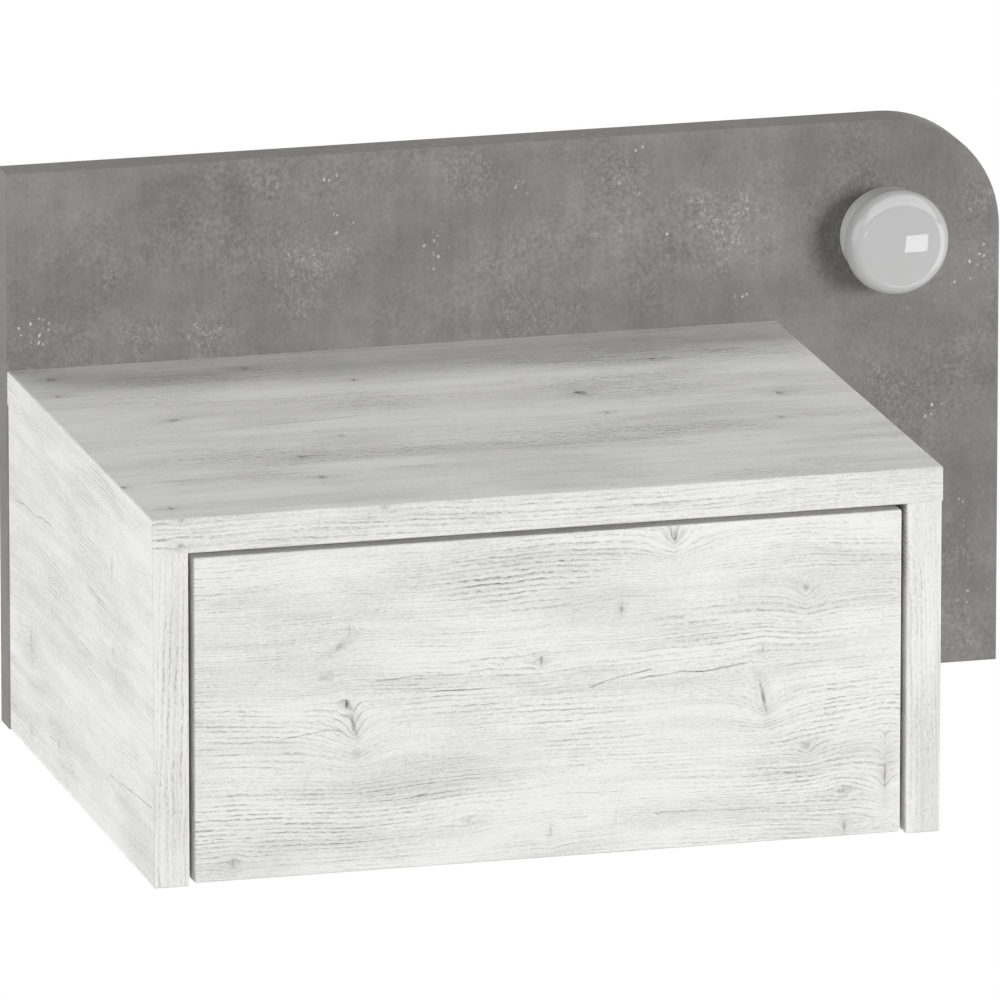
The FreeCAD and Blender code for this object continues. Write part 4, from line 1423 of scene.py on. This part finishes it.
@dataclass
class LampShell(NewPiece):
    """Opal dome: a shallow crown, a round edge and a flank that draws in towards the rim, with an even wall.

    Heights are counted from the panel's front along the lamp's axis.
    """

    name: str = "lamp_shell"
    node: str = "lamp_dome"
    body: str = "lamp_button"
    panel: str = "back_panel"
    widest: float = 18.5 * MM
    edge_r: float = 8.0 * MM
    rim_r: float = 24.9 * MM
    flank_run: float = 4.5 * MM
    wall: float = 1.8 * MM
    count: int = 141
    crown_share: float = 0.55
    flank_share: float = 0.88
    slot: ClassVar[Slot] = Slot.OPAL

    def surface(self) -> Surface:
        """Closed shell: the outside, the same moved in by the wall along its normals, and a rim between them.

        Returns:
            The whole surface.
        """
        points, normals = self.outside()
        inside = points - self.wall * normals
        number = np.arange(len(points)).reshape(self.count, self.count)
        sides = (number[:-1, 0], number[-1, :-1], number[:0:-1, -1], number[0, :0:-1], number[:1, 0])
        rim = np.concatenate(sides)
        quads = (
            grid_quads(self.count, self.count, False, 0),
            grid_quads(self.count, self.count, True, len(points)),
            grid_quads(2, len(rim), False, 2 * len(points)),
        )
        all_points = np.concatenate([points, inside, points[rim], inside[rim]])
        all_normals = np.concatenate([normals, -normals, normals[rim], -normals[rim]])
        return Surface(all_points, all_normals, np.concatenate(quads))

    def outside(self) -> tuple[Array, Array]:
        """Three arcs about the axis that share their tangents.

        The distance of a point of a pressed square gives the tilt of its normal from the axis, and its
        direction gives the turn about the axis. A point is the centre of its arc plus the arc's radius along
        the normal.

        Returns:
            Points and normals.
        """
        low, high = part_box(self.node)
        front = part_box(self.panel)[0].y
        radius, depth = (high.x - low.x) / 2, front - low.y
        edge_in, rise = radius - self.edge_r, depth - self.widest
        crown_r = (edge_in**2 + rise**2 - self.edge_r**2) / (2 * (rise - self.edge_r))
        lean = math.atan2(edge_in, self.widest - depth + crown_r)
        sag = radius - self.rim_r
        flank_r = (sag**2 + self.flank_run**2) / (2 * sag)
        last = math.pi / 2 + math.asin(self.flank_run / flank_r)
        reach, turn = (values.ravel() for values in pressed_square(self.count))
        shares = (0.0, self.crown_share, self.flank_share, 1.0)
        tilt = np.interp(reach, shares, (0.0, lean, math.pi / 2, last))
        arcs = [tilt < lean, tilt < math.pi / 2]
        arc_r = np.select(arcs, [crown_r, self.edge_r], flank_r)
        out = np.select(arcs, [0.0, edge_in], radius - flank_r) + arc_r * np.sin(tilt)
        height = np.select(arcs, [depth - crown_r, self.widest], self.widest) + arc_r * np.cos(tilt)
        x = (low.x + high.x) / 2 + out * np.cos(turn)
        z = (low.z + high.z) / 2 + out * np.sin(turn)
        points = np.stack([x, front - height, z], axis=-1)
        sides = np.sin(tilt)
        normals = np.stack([sides * np.cos(turn), -np.cos(tilt), sides * np.sin(turn)], axis=-1)
        return points, normals


@dataclass
class Lamp(Assembly):
    """Push-on lamp: gloss shell, base cup and what they hold."""

    dressed: tuple[str, ...] = (
        "lamp_base",
        "lamp_retaining_ring",
        "lamp_led_board",
        "lamp_board_screws",
        "lamp_leds",
        "lamp_switch_body",
        "lamp_switch_plunger",
        "lamp_terminal",
        "lamp_screws",
    )

    def pieces(self) -> list[NewPiece]:
        """The opal shell."""
        return [LampShell()]


@dataclass(frozen=True)
class Softbox:
    """Rectangular studio light, aimed at a point from an azimuth to the right of front and an elevation.

    A softbox that isn't reflected lights the object without a mirror image in gloss, and a card is only that
    image.
    """

    name: str
    azimuth: float
    elevation: float
    distance: float
    width: float
    height: float
    power: float
    reflected: bool = True
    card: bool = False

    def build(self, target: Vector) -> None:
        """Hang the light.

        Args:
            target: Point that it faces.
        """
        turn, rise = math.radians(self.azimuth), math.radians(self.elevation)
        way = Vector((math.sin(turn) * math.cos(rise), -math.cos(turn) * math.cos(rise), math.sin(rise)))
        lamp = bpy.data.lights.new(self.name, "AREA")
        lamp.shape = "RECTANGLE"
        lamp.size, lamp.size_y = self.width, self.height
        lamp.energy = self.power
        holder = bpy.data.objects.new(self.name, lamp)
        holder.location = target + way * self.distance
        holder.rotation_euler = way.to_track_quat("Z", "Y").to_euler()
        holder.visible_camera = False
        holder.visible_glossy = self.reflected
        holder.visible_diffuse = not self.card
        bpy.context.scene.collection.objects.link(holder)


@dataclass
class Studio:
    """Camera, white surroundings, pale floor and soft lights."""

    camera_at: tuple = (-2.28441, -8.55352, 2.21017)
    camera_way: tuple = (0.249590, 0.933987, -0.255680)
    lens: float = 648.0
    sensor: float = 36.0
    view_reach: float = 100.0
    floor_level: float = -0.85
    floor_radius: float = 9.0
    floor_count: int = 41
    floor_colour: tuple = (0.62, 0.62, 0.615, 1.0)
    floor_plain: float = 0.75
    floor_white: float = 1.25
    ambient: float = 0.14
    lamp_centre: tuple = (0.2, -0.045, 0.0)
    lights: tuple[Softbox, ...] = (
        Softbox("key_softbox", 33.0, 9.0, 9.0, 3.4, 2.6, 570.0, reflected=False),
        Softbox("left_softbox", -86.0, 2.0, 4.5, 2.0, 2.0, 117.0, reflected=False),
        Softbox("back_softbox", 180.0, 62.0, 5.0, 4.0, 1.6, 96.0, reflected=False),
    )
    lamp_lights: tuple[Softbox, ...] = (
        Softbox("window_softbox", 23.5, -13.3, 2.2, 0.40, 0.29, 2.4),
        Softbox("strip_softbox", -0.6, -6.3, 2.2, 0.04, 0.2, 0.08),
        Softbox("top_card", 22.0, 47.0, 3.0, 7.0, 4.5, 300.0, card=True),
        Softbox("right_card", 63.0, -17.0, 1.2, 0.92, 0.90, 8.5, card=True),
        Softbox("low_card", 41.0, -50.0, 0.9, 0.85, 0.20, 1.0, card=True),
        Softbox("left_card", -66.0, 2.0, 1.2, 0.90, 1.20, 6.8, card=True),
    )

    def build(self) -> None:
        """Set up everything around the object."""
        bpy.context.scene.view_settings.view_transform = "Standard"
        self.set_camera()
        self.set_world()
        self.lay_floor()
        middle = (CAD_BOX[0] + CAD_BOX[1]) / 2
        for light in self.lights:
            light.build(middle)
        for light in self.lamp_lights:
            light.build(Vector(self.lamp_centre))
        log.info("set up the studio")

    def set_camera(self) -> None:
        """Put the camera where the photograph was taken from."""
        data = bpy.data.cameras.new("camera")
        data.lens, data.sensor_width = self.lens, self.sensor
        data.clip_end = self.view_reach
        camera = bpy.data.objects.new("camera", data)
        camera.location = self.camera_at
        camera.rotation_euler = Vector(self.camera_way).to_track_quat("-Z", "Y").to_euler()
        bpy.context.scene.collection.objects.link(camera)
        bpy.context.scene.camera = camera

    def seen_directly(self, nodes: bpy.types.Nodes, links: bpy.types.NodeLinks) -> Socket:
        """Amount that is 1 for camera, glossy and transmission rays, and 0 for rays that light the object.

        Args:
            nodes: Nodes to add to.
            links: Links to add to.

        Returns:
            The amount.
        """
        path = nodes.new("ShaderNodeLightPath")
        value = path.outputs["Is Camera Ray"]
        for kind in ("Is Glossy Ray", "Is Transmission Ray"):
            either = nodes.new("ShaderNodeMath")
            either.operation = "MAXIMUM"
            links.new(value, either.inputs[0])
            links.new(path.outputs[kind], either.inputs[1])
            value = either.outputs[0]
        return value

    def set_world(self) -> None:
        """White to the eye, and a dimmer even light on the object."""
        world = bpy.data.worlds.new("studio")
        bpy.context.scene.world = world
        world.use_nodes = True
        nodes, links = world.node_tree.nodes, world.node_tree.links
        background = nodes["Background"]
        background.inputs["Color"].default_value = (1.0, 1.0, 1.0, 1.0)
        level = nodes.new("ShaderNodeMapRange")
        level.inputs["To Min"].default_value = self.ambient
        level.inputs["To Max"].default_value = 1.0
        links.new(self.seen_directly(nodes, links), level.inputs["Value"])
        links.new(level.outputs[0], background.inputs["Strength"])

    def lay_floor(self) -> None:
        """Lay a round pale floor.

        It is a pressed square with its distances squared, so that it is finer near the middle.
        """
        reach, turn = (values.ravel() for values in pressed_square(self.floor_count))
        radius = self.floor_radius * reach**2
        level = np.full_like(radius, self.floor_level)
        points = np.stack([radius * np.cos(turn), radius * np.sin(turn), level], axis=-1)
        ups = np.zeros_like(points)
        ups[:, 2] = 1.0
        floor = Surface(points, ups, grid_quads(self.floor_count, self.floor_count, False, 0)).piece("floor")
        floor.data.materials.append(self.floor_material())

    def floor_material(self) -> bpy.types.Material:
        """Pale matt floor that goes over into plain white away from the object, and is clear from below.

        Returns:
            The material.
        """
        graph = Graph("pale_floor")
        shine = graph.place().noise((40.0, 40.0, 40.0)).step(0.3, 0.7, 0.75, 0.9)
        graph.finish(Base_Color=self.floor_colour, Roughness=shine, Specular_IOR_Level=0.1)
        away = graph.node("ShaderNodeVectorMath", {0: graph.place()}, "Value", operation="LENGTH")
        seen = Value(graph, self.seen_directly(graph.tree.nodes, graph.tree.links))
        share = away.step(self.floor_plain, self.floor_white) * seen
        white = graph.node("ShaderNodeEmission", {"Strength": 1.0})
        plain = Value(graph, graph.shader.outputs[0])
        above = graph.node("ShaderNodeMixShader", {0: share, 1: plain, 2: white})
        behind = graph.node("ShaderNodeNewGeometry", {}, "Backfacing")
        clear = graph.node("ShaderNodeBsdfTransparent", {})
        whole = graph.node("ShaderNodeMixShader", {0: behind, 1: above, 2: clear})
        graph.feed(graph.output.inputs["Surface"], whole)
        return graph.material


def main() -> None:
    """Build the sub-assemblies in order."""
    logging.basicConfig(level=logging.INFO, format="%(name)s: %(message)s")
    finishes = Finishes()
    for part in (Carcass(), BackPanel(), Drawer(), Slides(), Lamp()):
        part.build(finishes)
    Studio().build()


if __name__ == "__main__":
    main()
